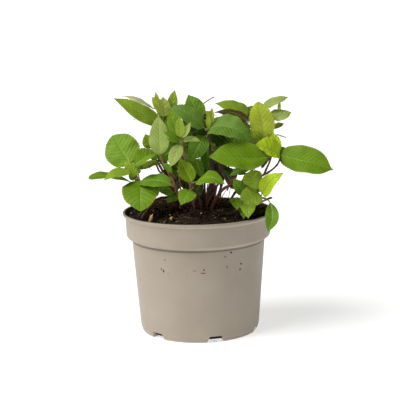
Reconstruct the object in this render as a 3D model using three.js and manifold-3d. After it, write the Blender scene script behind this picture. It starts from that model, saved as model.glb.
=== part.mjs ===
// Young hydrangea shrub in a round plastic nursery pot. Millimetres, +Z up.
// The origin is the centre of the pot's flat underside, and -Y is the front.
import * as THREE from "three";
import { mergeVertices } from "three/addons/utils/BufferGeometryUtils.js";
import Module from "manifold-3d";

const wasm = await Module();
wasm.setup();

const GAP = 0.4; // clearance between neighbouring solids
const SLIVER = 0.04; // faces thinner than this that a cut leaves are merged away
const OVERRUN = 0.01; // a cut starts this far outside the face it opens, so it leaves no film
const SAME_POINT = 1e-4; // corners nearer than this are one corner
const SEGMENTS = 40; // round the pot and its soil

// ---- Pot: outer sizes, its wall and its six drainage notches ----
const POT = {
  height: 152,
  lipRadius: 95,
  openingRadius: 93,
  bandTopRadius: 91.6,
  bandFootRadius: 91,
  bandFootHeight: 122.4,
  bodyTopRadius: 83.7,
  bodyFootRadius: 75.8,
  footRadius: 73,
  cornerHeight: 12,
  cornerInset: 0.7, // how far the rounded corner falls short of the body halfway up
  chamfer: 1.5, // round the foot and the lip
  stepDrop: 4, // the sloping underside of the band starts this far below its foot
  bandRound: 2,
  ledge: 3, // inside, where the band widens the pot
  lipDrop: 5.5, // the lip flares out of the band over this height
  wall: 2,
  floor: 3,
};
const NOTCH = {
  count: 6,
  firstAngle: 15, // degrees from the front, towards +X
  bottomWidth: 22,
  topWidth: 15,
  height: 8,
  innerRadius: 38,
  roof: 2.5,
  sunk: 0.5, // how far the end of the hood sinks into the wall
  holeRadius: 4,
  holeSides: 12,
  holeAt: 62,
};

// ---- Soil: a mound of root ball inside the pot ----
const SOIL = {
  edgeHeight: 148,
  edgeDepth: 6, // the mound meets the wall this far below its edge
  edgeRound: 3,
  slopeRise: 3, // from the edge to the foot of the shoulder
  shoulderWidth: 10,
  shoulderRadius: 62,
  crownRise: 3, // from the shoulder to the crown
  crownHeight: 157.5,
};

// ---- Shrub: canes about 3 mm thick that carry leaves up to 70 mm long ----
const CANE = { sides: 5, stepLength: 26, leastSteps: 3, baseRadius: 1.8, tipRadius: 1.1 };
const CANE_SIDE = [0.31, 0.95, 0]; // no cane runs this way, so its rings can be set out from it
const LEAF = {
  thickness: 3.6,
  rimShare: 0.45, // thickness at the ends, as a share of the middle's
  leastHalfWidth: 1,
  stations: [0.14, 0.4, 0.72], // where its rings stand, as shares of its length
  skew: 0.9, // below 1 the widest place is nearer the base
  fullness: 0.75, // below 1 the outline is fuller than a sine
};
const PAIR = { shrink: 0.28, widthShare: 0.52, arch: 0.12 };
const KNOT_RADIUS = 9; // the knot of leaf stalks where a shoot carries its leaves
const LINK_RADIUS = 4.5; // the stem between two knots of one mass
const STALK_START = 4.5; // each leaf starts this far from the middle of its knot

// Where the shoots carry their leaves.
const NODE = {
  topLeft: [-45, -10, 272],
  left: [-44, -40, 226],
  lowLeft: [-77, -33, 210],
  underLeft: [-69, -36, 199],
  frontLeft: [-19, -45, 250],
  centre: [14, -20, 256],
  front: [-7, -55, 196],
  topRight: [84, -8, 248],
  highRight: [72, 5, 268],
  right: [103, -24, 222],
  innerRight: [87, -42, 228],
  lowRight: [69, -36, 182],
  rimRight: [85, -55, 174],
  inner: [20, 8, 226],
  backLeft: [-38, 46, 246],
  back: [8, 60, 246],
  backRight: [60, 48, 242],
  lowInner: [-14, 22, 190],
  lowBackLeft: [-82, 40, 214],
  lowBack: [-6, 82, 198],
  lowBackRight: [90, 42, 212],
};

// Where canes leave the soil, and where they fork.
const ROOT = {
  centre: [9, -12, 150],
  topLeft: [1, -3, 150],
  left: [-27, -10, 150],
  lowLeft: [-36, -4, 150],
  frontLeft: [-3, -16, 150],
  front: [4, -26, 150],
  right: [15, -18, 150],
  lowRight: [46, -28, 150],
  inner: [14, -3, 150],
  lowInner: [-8, -2, 150],
  backLeft: [-8, 8, 150],
  back: [4, 12, 150],
  backRight: [20, 7, 150],
  lowBackLeft: [-22, 14, 150],
  lowBack: [-3, 22, 150],
  lowBackRight: [36, 20, 150],
};
const FORK = {
  right: [41, -25, 188],
  farRight: [81, -35, 201],
  lowRight: [62, -36, 170],
};

// Each look: its colour and its roughness.
const LOOKS = {
  pot: [0xaca092, 0.55],
  soil: [0x2b211b, 0.95],
  cane: [0x6a4238, 0.8],
  leaf: [0x7aa53a, 0.7],
};

const vector = (triple) => new THREE.Vector3(...triple);
const radians = (degrees) => THREE.MathUtils.degToRad(degrees);

function solidFrom(geometry) {
  const plain = geometry.index ? geometry.toNonIndexed() : geometry.clone();
  plain.deleteAttribute("normal");
  plain.deleteAttribute("uv");
  const merged = mergeVertices(plain, SAME_POINT);
  const mesh = new wasm.Mesh({
    numProp: 3,
    vertProperties: merged.attributes.position.array,
    triVerts: new Uint32Array(merged.index.array),
  });
  return new wasm.Manifold(mesh);
}

function lathe(profile) {
  const points = profile.map(([radius, height]) => new THREE.Vector2(radius, height));
  const geometry = new THREE.LatheGeometry(points, SEGMENTS);
  geometry.rotateX(Math.PI / 2);
  return solidFrom(geometry);
}

// A closed skin over rings of points that all hold the same number of points.
function skin(rings) {
  const sides = rings[0].length;
  const points = rings.flat();
  const first = points.push(centreOf(rings[0])) - 1;
  const last = points.push(centreOf(rings[rings.length - 1])) - 1;
  const index = [];
  for (let ring = 0; ring < rings.length - 1; ring += 1) {
    for (let side = 0; side < sides; side += 1) {
      const a = ring * sides + side;
      const b = ring * sides + ((side + 1) % sides);
      index.push(a, b, b + sides, a, b + sides, a + sides);
    }
  }
  const top = (rings.length - 1) * sides;
  for (let side = 0; side < sides; side += 1) {
    const next = (side + 1) % sides;
    index.push(first, next, side, last, top + side, top + next);
  }
  const geometry = new THREE.BufferGeometry().setFromPoints(points);
  geometry.setIndex(index);
  return solidFrom(geometry);
}

function centreOf(ring) {
  const sum = ring.reduce((total, point) => total.add(point), new THREE.Vector3());
  return sum.divideScalar(ring.length);
}

// ---- Pot and soil ----

function potProfile() {
  const p = POT;
  const step = p.bandFootHeight;
  const outer = [
    [0, 0],
    [p.footRadius - p.chamfer, 0],
    [p.footRadius, p.chamfer],
    [p.bodyFootRadius - p.cornerInset, p.cornerHeight / 2],
    [p.bodyFootRadius, p.cornerHeight],
    [p.bodyTopRadius, step - p.stepDrop],
    [p.bandFootRadius - p.bandRound, step - p.bandRound / 2],
    [p.bandFootRadius, step + p.bandRound],
    [p.bandTopRadius, p.height - p.lipDrop],
    [p.lipRadius - p.chamfer / 2, p.height - p.lipDrop / 2],
    [p.lipRadius, p.height - p.chamfer],
    [p.lipRadius - p.chamfer, p.height],
  ];
  const inner = [
    [p.openingRadius, p.height],
    [p.bandTopRadius - p.wall, p.height - p.lipDrop - p.chamfer],
    [p.bandFootRadius - p.wall, step + p.ledge],
    [p.bodyTopRadius - p.wall + p.ledge, step],
    [p.bodyTopRadius - p.wall, step - p.ledge],
    [p.bodyFootRadius - p.wall, p.cornerHeight],
    [p.footRadius - p.wall, p.floor],
  ];
  return [...outer, ...inner, [0, p.floor]];
}

// A block across one notch: its width narrows upwards, and it runs along the radius.
function notchBlock(bottomWidth, topWidth, height, from, to) {
  const outline = new THREE.Shape();
  outline.moveTo(-bottomWidth / 2, 0);
  outline.lineTo(bottomWidth / 2, 0);
  outline.lineTo(topWidth / 2, height);
  outline.lineTo(-topWidth / 2, height);
  outline.closePath();
  const depth = to - from;
  const geometry = new THREE.ExtrudeGeometry(outline, { depth, bevelEnabled: false });
  geometry.rotateX(Math.PI / 2);
  geometry.translate(0, -from, 0);
  return geometry;
}

// One solid for each notch: the shape given at the front, turned round the pot.
function atEachNotch(geometry) {
  const turn = radians(360 / NOTCH.count);
  const solids = [];
  for (let notch = 0; notch < NOTCH.count; notch += 1) {
    const angle = radians(NOTCH.firstAngle) + notch * turn;
    solids.push(solidFrom(geometry.clone().rotateZ(angle)));
  }
  return solids;
}

// The raised hood inside the pot over each notch.
function hoods(grow) {
  const n = NOTCH;
  return atEachNotch(notchBlock(
    n.bottomWidth + 2 * (n.roof + grow),
    n.topWidth + 2 * (n.roof + grow),
    n.height + n.roof + grow,
    n.innerRadius - n.roof - grow,
    POT.footRadius - n.sunk,
  ));
}

function makePot() {
  const n = NOTCH;
  const notch = notchBlock(n.bottomWidth, n.topWidth, n.height, n.innerRadius, POT.lipRadius);
  notch.translate(0, 0, -OVERRUN);
  const depth = 2 * n.height;
  const drain = new THREE.CylinderGeometry(n.holeRadius, n.holeRadius, depth, n.holeSides);
  drain.rotateX(Math.PI / 2);
  drain.translate(0, -n.holeAt, n.height);
  let pot = lathe(potProfile());
  for (const hood of hoods(0)) pot = pot.add(hood);
  for (const cut of [...atEachNotch(notch), ...atEachNotch(drain)]) pot = pot.subtract(cut);
  return pot;
}

// The soil's profile, with its top lifted by raise.
function soilProfile(raise) {
  const p = POT;
  const inside = p.wall + GAP;
  return [
    [0, p.floor + GAP],
    [p.footRadius - inside - p.cornerInset, p.floor + GAP],
    [p.bodyFootRadius - inside, p.cornerHeight],
    [p.bodyTopRadius - inside, p.bandFootHeight - p.ledge + GAP],
    [p.bodyTopRadius - inside + p.ledge - GAP, p.bandFootHeight],
    [p.bandFootRadius - inside, p.bandFootHeight + p.ledge + GAP],
    [p.bandFootRadius - inside, SOIL.edgeHeight - SOIL.edgeDepth + raise],
    [p.bandFootRadius - inside - SOIL.edgeRound, SOIL.edgeHeight + raise],
    [SOIL.shoulderRadius + SOIL.shoulderWidth, SOIL.edgeHeight + SOIL.slopeRise + raise],
    [SOIL.shoulderRadius, SOIL.crownHeight - SOIL.crownRise + raise],
    [0, SOIL.crownHeight + raise],
  ];
}

function makeSoil() {
  let soil = lathe(soilProfile(0));
  for (const hood of hoods(GAP)) soil = soil.subtract(hood);
  return soil;
}

// ---- Limbs and leaves ----

// A tapering limb from one place to another, bowed sideways or upwards by bow.
function limb(from, to, bow, baseRadius, tipRadius, grow = 0) {
  const start = vector(from);
  const end = vector(to);
  const middle = start.clone().lerp(end, 0.5).add(vector(bow));
  const curve = new THREE.CatmullRomCurve3([start, middle, end]);
  const length = curve.getLength();
  const steps = Math.max(CANE.leastSteps, Math.round(length / CANE.stepLength));
  const rings = [];
  for (let step = 0; step <= steps; step += 1) {
    const share = step / steps;
    const centre = curve.getPointAt(share);
    const along = curve.getTangentAt(share);
    const sideways = vector(CANE_SIDE).cross(along).normalize();
    const across = along.clone().cross(sideways);
    const radius = baseRadius + (tipRadius - baseRadius) * share + grow;
    const ring = [];
    for (let side = 0; side < CANE.sides; side += 1) {
      const angle = (side * 2 * Math.PI) / CANE.sides;
      const spoke = sideways.clone().multiplyScalar(radius * Math.cos(angle));
      spoke.addScaledVector(across, radius * Math.sin(angle));
      ring.push(centre.clone().add(spoke));
    }
    rings.push(ring);
  }
  return skin(rings);
}

// One leaf. heading is degrees from +X towards +Y, pitch is degrees above the level,
// lean turns its face from the sky (0) to the front (90), and arch lifts its middle by
// that share of its length.
function leaf(heading, pitch, length, width, lean = 0, arch = 0.08) {
  return { heading, pitch, length, width, lean, arch };
}

// The leaf as a thin closed pad that starts at a node.
function pad(node, spec, grow) {
  const heading = radians(spec.heading);
  const pitch = radians(spec.pitch);
  const along = new THREE.Vector3(
    Math.cos(pitch) * Math.cos(heading),
    Math.cos(pitch) * Math.sin(heading),
    Math.sin(pitch),
  );
  const lean = radians(spec.lean);
  const face = new THREE.Vector3(0, -Math.sin(lean), Math.cos(lean));
  const normal = face.addScaledVector(along, -face.dot(along)).normalize();
  const across = normal.clone().cross(along);
  const start = vector(node).addScaledVector(along, STALK_START);
  const span = spec.length - STALK_START;
  const rings = [0, ...LEAF.stations, 1].map((share) => {
    const open = Math.sin(Math.PI * share ** LEAF.skew) ** LEAF.fullness;
    const half = Math.max(LEAF.leastHalfWidth, (spec.width / 2) * open) + grow;
    const fat = LEAF.rimShare + (1 - LEAF.rimShare) * open;
    const thick = (LEAF.thickness / 2) * fat + grow;
    const lift = spec.arch * spec.length * 4 * share * (1 - share);
    const reach = share * span + grow * (2 * share - 1);
    const centre = start.clone().addScaledVector(along, reach).addScaledVector(normal, lift);
    const corners = [[1, 0], [0, 1], [-1, 0], [0, -1]];
    return corners.map(([side, up]) =>
      centre.clone().addScaledVector(across, side * half).addScaledVector(normal, up * thick));
  });
  return skin(rings);
}

// A mass of leaves: the pads of one or two nodes, with a knot at each and a stem between.
function mass(parts, grow) {
  let solid = null;
  let below = null;
  for (const [node, leaves] of parts) {
    const knot = new THREE.OctahedronGeometry(KNOT_RADIUS + grow, 0);
    knot.translate(...node);
    let cluster = solidFrom(knot);
    for (const spec of leaves) cluster = cluster.add(pad(node, spec, grow));
    if (below) cluster = cluster.add(limb(below, node, [0, 0, 0], LINK_RADIUS, LINK_RADIUS));
    solid = solid ? solid.add(cluster) : cluster;
    below = node;
  }
  return solid;
}

// Leaves in opposite pairs, each pair turned 90 degrees from the pair below it.
function pairs(count, turn, length, lowPitch, highPitch) {
  const leaves = [];
  for (let pair = 0; pair < count; pair += 1) {
    const share = pair / Math.max(1, count - 1);
    const size = length * (1 - PAIR.shrink * share);
    const pitch = lowPitch + (highPitch - lowPitch) * share;
    for (const side of [0, 180]) {
      const heading = turn + 90 * pair + side;
      leaves.push(leaf(heading, pitch, size, size * PAIR.widthShare, 0, PAIR.arch));
    }
  }
  return leaves;
}

const MASSES = {
  foliage_top_left: [
    [NODE.topLeft, [
      leaf(-169, 25, 60, 30, 60, 0),
      leaf(162, 28, 55, 15, -32, 0.04),
      leaf(165, 74, 30, 17, 80),
      leaf(10, 59, 37, 15, 80),
      leaf(60, 20, 40, 22),
    ]],
  ],
  foliage_low_left: [
    [NODE.lowLeft, [
      leaf(134, 45, 57, 49, 80, 0),
      leaf(-150, -9, 41, 20, 26),
      leaf(169, -10, 60, 22, 16, 0.05),
      leaf(5, 26, 36, 19, 45),
    ]],
    [NODE.underLeft, [
      leaf(-89, -41, 54, 48, 60, 0.05),
      leaf(-30, -3, 47, 23, 26, 0.1),
    ]],
  ],
  foliage_right: [
    [NODE.right, [
      leaf(-13, -12, 68, 39, 60, 0.06),
      leaf(-163, 31, 38, 24, 45),
      leaf(134, 76, 31, 14, 90),
      leaf(70, 10, 44, 24),
    ]],
  ],
  foliage_inner_right: [
    [NODE.innerRight, [
      leaf(-167, 1, 75, 43, 50, 0),
      leaf(150, -40, 22, 14, 20),
    ]],
  ],
  foliage_top_right: [
    [NODE.topRight, [
      leaf(170, 76, 43, 29, 90, 0),
      leaf(-155, -8, 24, 16, 60),
      leaf(5, 37, 43, 18, 35, 0.2),
      leaf(60, 5, 46, 26),
    ]],
  ],
  foliage_high_right: [
    [NODE.highRight, [
      leaf(-173, 21, 52, 24, 40, 0.08),
      leaf(14, 29, 50, 18, 32),
      leaf(95, 5, 40, 22),
    ]],
  ],
  foliage_centre: [
    [NODE.centre, [
      leaf(168, 30, 57, 28, 45, 0.16),
      leaf(140, 55, 51, 25, 60, 0.02),
      leaf(-15, 75, 28, 10, 90),
      leaf(-21, -11, 57, 32, 55, 0.12),
      leaf(-127, -42, 34, 20, 50),
      leaf(75, 25, 44, 24),
    ]],
  ],
  foliage_front_left: [
    [NODE.frontLeft, [
      leaf(144, 70, 35, 23, 85, 0),
      leaf(20, 52, 25, 12, 60),
      leaf(-20, -12, 28, 14, 10),
      leaf(-115, -58, 34, 18, 60),
    ]],
  ],
  foliage_left: [
    [NODE.left, [
      leaf(-100, 84, 52, 22, 90, 0),
      leaf(150, 48, 37, 19, 80),
      leaf(-30, -50, 26, 15, 60),
      leaf(40, 40, 38, 20),
    ]],
  ],
  foliage_front: [
    [NODE.front, [
      leaf(149, 57, 36, 22, 70, 0),
      leaf(-30, 2, 41, 24, 30, 0.18),
      leaf(-118, -30, 28, 18, 50),
    ]],
  ],
  foliage_low_right: [
    [NODE.lowRight, [
      leaf(180, 34, 28, 15, 60),
      leaf(-119, 70, 28, 23, 80),
      leaf(-41, 29, 53, 20, 60, 0.05),
      leaf(-89, -18, 36, 26, 40),
      leaf(-110, -35, 45, 18, 50),
      leaf(-150, -28, 32, 14, 40),
    ]],
  ],
  foliage_rim_right: [
    [NODE.rimRight, [
      leaf(-85, -62, 38, 24, 40, 0.05),
      leaf(40, 12, 14, 8),
    ]],
  ],
  foliage_inner: [[NODE.inner, [leaf(-130, -32, 36, 24, 50), ...pairs(2, 65, 46, 0, 35)]]],
  foliage_back_left: [[NODE.backLeft, pairs(3, 95, 52, 5, 48)]],
  foliage_back: [[NODE.back, pairs(3, 70, 50, -3, 36)]],
  foliage_back_right: [[NODE.backRight, pairs(3, 50, 56, 5, 45)]],
  foliage_low_inner: [
    [NODE.lowInner, [
      leaf(170, -5, 36, 20, 20),
      leaf(0, 22, 46, 24, 50),
      leaf(70, 20, 34, 20),
      leaf(-60, 20, 34, 20, 40),
    ]],
  ],
  foliage_low_back_left: [
    [NODE.lowBackLeft, [
      leaf(150, 0, 38, 22),
      leaf(95, -15, 42, 24),
      leaf(205, 12, 32, 18),
      leaf(45, 30, 34, 20),
    ]],
  ],
  foliage_low_back: [[NODE.lowBack, pairs(2, 80, 46, -28, 20)]],
  foliage_low_back_right: [
    [NODE.lowBackRight, [
      leaf(30, -5, 36, 20),
      leaf(88, -15, 40, 22),
      leaf(-25, 0, 30, 16),
      leaf(140, 28, 32, 18),
    ]],
  ],
};

// Each limb: where it starts and ends, its bow, and its radii at both ends.
const { baseRadius, tipRadius } = CANE;
const LIMBS = {
  cane_centre: [ROOT.centre, NODE.centre, [6, 0, 0], baseRadius, tipRadius],
  cane_top_left: [ROOT.topLeft, NODE.topLeft, [8, -6, 0], baseRadius, tipRadius],
  cane_left: [ROOT.left, NODE.left, [6, 4, -4], baseRadius, tipRadius],
  cane_low_left: [ROOT.lowLeft, NODE.lowLeft, [-11, 0, -8], baseRadius, tipRadius],
  cane_front_left: [ROOT.frontLeft, NODE.frontLeft, [1, -6, 0], baseRadius, tipRadius],
  cane_front: [ROOT.front, NODE.front, [4, -3, 0], 1.5, tipRadius],
  cane_right: [ROOT.right, FORK.right, [-2, 0, 6], 2, 1.6],
  bough_far_right: [FORK.right, FORK.farRight, [0, 0, -2], 1.5, 1.3],
  bough_right: [FORK.farRight, NODE.right, [3.5, 2, -2.5], 1.3, tipRadius],
  bough_inner_right: [FORK.farRight, NODE.innerRight, [1, 0, 0], 1.3, tipRadius],
  bough_top_right: [FORK.right, NODE.topRight, [-2, 4, 0], 1.5, tipRadius],
  cane_low_right: [ROOT.lowRight, FORK.lowRight, [0, 0, 2], 1.6, 1.3],
  bough_low_right: [FORK.lowRight, NODE.lowRight, [-1, 0, 0], 1.2, tipRadius],
  bough_rim_right: [FORK.lowRight, NODE.rimRight, [0, 0, 3], 1.2, tipRadius],
  cane_inner: [ROOT.inner, NODE.inner, [3, -2, 0], baseRadius, tipRadius],
  cane_low_inner: [ROOT.lowInner, NODE.lowInner, [0, 0, 2], 1.4, tipRadius],
  cane_back_left: [ROOT.backLeft, NODE.backLeft, [4, -4, 0], baseRadius, tipRadius],
  cane_back: [ROOT.back, NODE.back, [0, -5, 0], baseRadius, tipRadius],
  cane_back_right: [ROOT.backRight, NODE.backRight, [-3, -4, 0], baseRadius, tipRadius],
  cane_low_back_left: [ROOT.lowBackLeft, NODE.lowBackLeft, [-14, 0, -10], 1.6, tipRadius],
  cane_low_back: [ROOT.lowBack, NODE.lowBack, [0, -4, 5], 1.6, tipRadius],
  cane_low_back_right: [ROOT.lowBackRight, NODE.lowBackRight, [-2, 0, 6], 1.6, tipRadius],
};

// ---- Assembly ----

// The largest of the pieces that a cut left.
function largest(solid) {
  return solid.decompose().reduce((a, b) => (a.volume() > b.volume() ? a : b));
}

function distanceTo(place, solid) {
  const corners = solid.getMesh().vertProperties;
  let nearest = Infinity;
  for (let k = 0; k < corners.length; k += 3) {
    const corner = new THREE.Vector3(corners[k], corners[k + 1], corners[k + 2]);
    nearest = Math.min(nearest, corner.distanceTo(vector(place)));
  }
  return nearest;
}

// The piece that holds a limb's own start, of the pieces that a cut left.
function startPiece(place, solid) {
  const nearer = (a, b) => (distanceTo(place, a) <= distanceTo(place, b) ? a : b);
  return solid.decompose().reduce(nearer);
}

function meshOf(name, solid, [color, roughness]) {
  const made = solid.simplify(SLIVER).getMesh();
  const geometry = new THREE.BufferGeometry();
  const positions = new Float32Array(made.vertProperties);
  geometry.setAttribute("position", new THREE.BufferAttribute(positions, 3));
  geometry.setIndex(new THREE.BufferAttribute(new Uint32Array(made.triVerts), 1));
  geometry.computeVertexNormals();
  const material = new THREE.MeshStandardMaterial({ color, roughness, metalness: 0 });
  const mesh = new THREE.Mesh(geometry, material);
  mesh.name = name;
  return mesh;
}

const container = new THREE.Group();
container.add(meshOf("pot", makePot(), LOOKS.pot));
container.add(meshOf("soil", makeSoil(), LOOKS.soil));

// Each mass and limb keeps clear of the soil and of all that was made before it.
let taken = lathe(soilProfile(GAP));
const foliage = new THREE.Group();
for (const [name, parts] of Object.entries(MASSES)) {
  const solid = largest(mass(parts, 0).subtract(taken));
  foliage.add(meshOf(name, solid, LOOKS.leaf));
  taken = taken.add(mass(parts, GAP));
}
const limbs = new THREE.Group();
for (const [name, [from, to, bow, base, tip]] of Object.entries(LIMBS)) {
  const solid = startPiece(from, limb(from, to, bow, base, tip).subtract(taken));
  limbs.add(meshOf(name, solid, LOOKS.cane));
  taken = taken.add(limb(from, to, bow, base, tip, GAP));
}

const pottedShrub = new THREE.Group();
pottedShrub.name = "potted_hydrangea";
pottedShrub.add(container, limbs, foliage);

export default pottedShrub;
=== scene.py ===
import math
import random
from dataclasses import dataclass
from itertools import combinations

import bmesh
import bpy
import numpy as np
from mathutils import Euler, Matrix, Quaternion, Vector, noise


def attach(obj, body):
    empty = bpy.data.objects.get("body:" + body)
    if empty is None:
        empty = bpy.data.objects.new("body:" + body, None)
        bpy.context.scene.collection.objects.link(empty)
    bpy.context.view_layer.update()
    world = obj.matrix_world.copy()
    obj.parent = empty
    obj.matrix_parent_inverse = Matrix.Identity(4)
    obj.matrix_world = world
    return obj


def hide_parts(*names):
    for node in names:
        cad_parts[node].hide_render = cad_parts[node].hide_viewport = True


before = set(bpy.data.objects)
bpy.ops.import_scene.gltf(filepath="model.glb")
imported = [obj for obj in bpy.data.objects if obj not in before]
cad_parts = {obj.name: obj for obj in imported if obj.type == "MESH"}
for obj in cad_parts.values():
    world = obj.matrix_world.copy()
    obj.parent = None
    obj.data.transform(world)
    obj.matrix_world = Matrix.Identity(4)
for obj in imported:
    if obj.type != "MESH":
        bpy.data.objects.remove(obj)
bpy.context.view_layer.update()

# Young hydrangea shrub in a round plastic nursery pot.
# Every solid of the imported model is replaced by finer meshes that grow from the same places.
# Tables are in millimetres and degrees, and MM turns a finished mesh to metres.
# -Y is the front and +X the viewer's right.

MM = 0.001
BODY = "root"

# ---- Pot ----
POT_HEIGHT = 152
POT_OPENING = 93
POT_LIP = 95
POT_BAND_TOP = 91.6
POT_BAND_FOOT = 91
POT_BODY_TOP = 83.7
POT_BODY_FOOT = 75.8
POT_FOOT = 73
POT_STEP = 122.4
POT_WALL = 2
POT_FLOOR = 3
POT_CORNER = 12
POT_SEGMENTS = 288
NOTCHES = 6
NOTCH_FIRST = 15
NOTCH_BOTTOM = 22
NOTCH_TOP = 15
NOTCH_HEIGHT = 8
NOTCH_INNER = 38
NOTCH_ROOF = 2.5
DRAIN_RADIUS = 4
DRAIN_AT = 62
DRAIN_SIDES = 20
FILLET_STEPS = 6
STAIN_TOP = 150.6
# Heights of the crease under the band, where the wall is painted darker: painted shade, with some dust.
CREASE = (115.6, 118.8)

# ---- Soil ----
SOIL_EDGE = 149
SOIL_CROWN = 157.5
SOIL_SHOULDER = 62
SOIL_TURN = 85.6
SOIL_RADIUS = 88.3
SOIL_ROWS = 64
SOIL_SEGMENTS = 240

# ---- Stems and leaves ----
CANE_BASE = 1.8
CANE_TIP = 1.1
STALK = 3.5
STALK_SHARE = 0.1  # of the leaf, at most
STALK_RADIUS = 0.75
TOOTH_PITCH = 2.8
TOOTH_DEPTH = 0.9
BLADE_THICKNESS = 0.32
EDGE_THINNING = 0.6
RIB_HALF = 0.55
RIB_TAPER = 0.75
RIB_DEPTH = 0.7
RIB_SINK = 0.2
RIB_LEAST = 0.08  # of blade on each side of the midrib
QUILT = 0.08
RIPPLE = 0.06
FLUTTER = 0.035
WANDER = 0.008
VEIN_GAP = 6
VEIN_SLANT = 0.42
FINE_LENGTH = 40  # shorter leaves have finer teeth and midribs
SOFT_LENGTH = 45  # and shallower quilting

# Where the shoots carry their leaves.
NODE = {
    "topLeft": (-45, -10, 272),
    "left": (-44, -40, 226),
    "lowLeft": (-77, -33, 210),
    "underLeft": (-69, -36, 199),
    "frontLeft": (-19, -45, 250),
    "centre": (14, -20, 256),
    "front": (-7, -55, 196),
    "topRight": (84, -8, 248),
    "highRight": (72, 5, 268),
    "right": (103, -24, 222),
    "innerRight": (87, -42, 228),
    "lowRight": (69, -36, 182),
    "rimRight": (85, -55, 174),
    "inner": (20, 8, 226),
    "backLeft": (-38, 46, 246),
    "back": (8, 60, 246),
    "backRight": (60, 48, 242),
    "lowInner": (-14, 22, 190),
    "lowBackLeft": (-82, 40, 214),
    "lowBack": (-6, 82, 198),
    "lowBackRight": (90, 42, 212),
}

# Where canes leave the soil, and where they fork.
ROOT_HEIGHT = 150
ROOT_PLACES = {
    "centre": (9, -12),
    "topLeft": (1, -3),
    "left": (-27, -10),
    "lowLeft": (-36, -4),
    "frontLeft": (-3, -16),
    "front": (4, -26),
    "right": (15, -18),
    "lowRight": (46, -28),
    "inner": (14, -3),
    "lowInner": (-8, -2),
    "backLeft": (-8, 8),
    "back": (4, 12),
    "backRight": (20, 7),
    "lowBackLeft": (-22, 14),
    "lowBack": (-3, 22),
    "lowBackRight": (36, 20),
}
ROOT = {name: (x, y, ROOT_HEIGHT) for name, (x, y) in ROOT_PLACES.items()}
FORK = {
    "right": (41, -25, 188),
    "farRight": (81, -35, 201),
    "lowRight": (62, -36, 170),
}

INNER_RIGHT_TIP = (91, -35, 226)  # close behind the leaf that hides it


def cane(place, bow, base=CANE_BASE):
    """A limb from the soil to the node of the same name."""
    return ROOT[place], NODE[place], bow, base, CANE_TIP


# Each limb: where it starts and ends, its bow, and its radii at both ends.
LIMBS = {
    "cane_centre": cane("centre", (6, 0, 0)),
    "cane_top_left": cane("topLeft", (8, -6, 0)),
    "cane_left": cane("left", (6, 4, -4)),
    "cane_low_left": cane("lowLeft", (-11, 0, -8)),
    "cane_front_left": cane("frontLeft", (1, -6, 0)),
    "cane_front": cane("front", (4, -3, 0), 1.5),
    "cane_right": (ROOT["right"], FORK["right"], (-2, 0, 6), 2, 1.6),
    "bough_far_right": (FORK["right"], FORK["farRight"], (0, 0, -2), 1.5, 1.3),
    "bough_right": (FORK["farRight"], NODE["right"], (3.5, 2, -2.5), 1.3, CANE_TIP),
    "bough_inner_right": (FORK["farRight"], INNER_RIGHT_TIP, (1, 0, -1), 1.3, CANE_TIP),
    "bough_top_right": (FORK["right"], NODE["topRight"], (-2, 4, 0), 1.5, CANE_TIP),
    "cane_low_right": (ROOT["lowRight"], FORK["lowRight"], (0, 0, 2), 1.6, 1.3),
    "bough_low_right": (FORK["lowRight"], NODE["lowRight"], (-1, 0, 0), 1.2, CANE_TIP),
    "bough_rim_right": (FORK["lowRight"], NODE["rimRight"], (0, 0, 3), 1.2, CANE_TIP),
    "cane_inner": cane("inner", (3, -2, 0)),
    "cane_low_inner": cane("lowInner", (0, 0, 2), 1.4),
    "cane_back_left": cane("backLeft", (4, -4, 0)),
    "cane_back": cane("back", (0, -5, 0)),
    "cane_back_right": cane("backRight", (-3, -4, 0)),
    "cane_low_back_left": cane("lowBackLeft", (-14, 0, -10), 1.6),
    "cane_low_back": cane("lowBack", (0, -4, 5), 1.6),
    "cane_low_back_right": cane("lowBackRight", (-2, 0, 6), 1.6),
}


@dataclass
class Leaf:
    """One leaf, seen from the node that carries it.

    heading is degrees from +X towards +Y, and pitch is degrees above the level.
    lean turns its face from the sky (0) to the front (90), and arch lifts its middle.
    start is where its stalk begins to be a blade, from the node.
    fold is the V of its two halves, roll and droop turn its edges and its tip down,
    bend curves its midrib sideways and twist turns its tip.
    """

    heading: float
    pitch: float
    length: float
    width: float
    lean: float = 0
    arch: float = 0.08
    start: tuple = (0, 0, 0)
    tone: str = "mid"
    form: str = "oval"
    fold: float = 10
    roll: float = 0.12
    droop: float = 0.05
    bend: float = 0
    twist: float = 0


# How quickly a leaf widens from its base and narrows to its tip, and how far its point is drawn out.
FORMS = {
    "round": (0.44, 0.56, 0.2),
    "full": (0.85, 0.74, 0.3),
    "egg": (0.36, 0.48, 0.9),
    "oval": (0.58, 0.88, 0.3),
    "lance": (0.74, 1.12, 0),
    "heart": (0.34, 0.8, 0.4),
    "shield": (0.42, 0.68, 0.15),
    "spindle": (0.92, 1.0, 0.2),
    "fan": (1.15, 0.5, 0),
}
POINT_LENGTH = 0.135  # of the leaf

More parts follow.
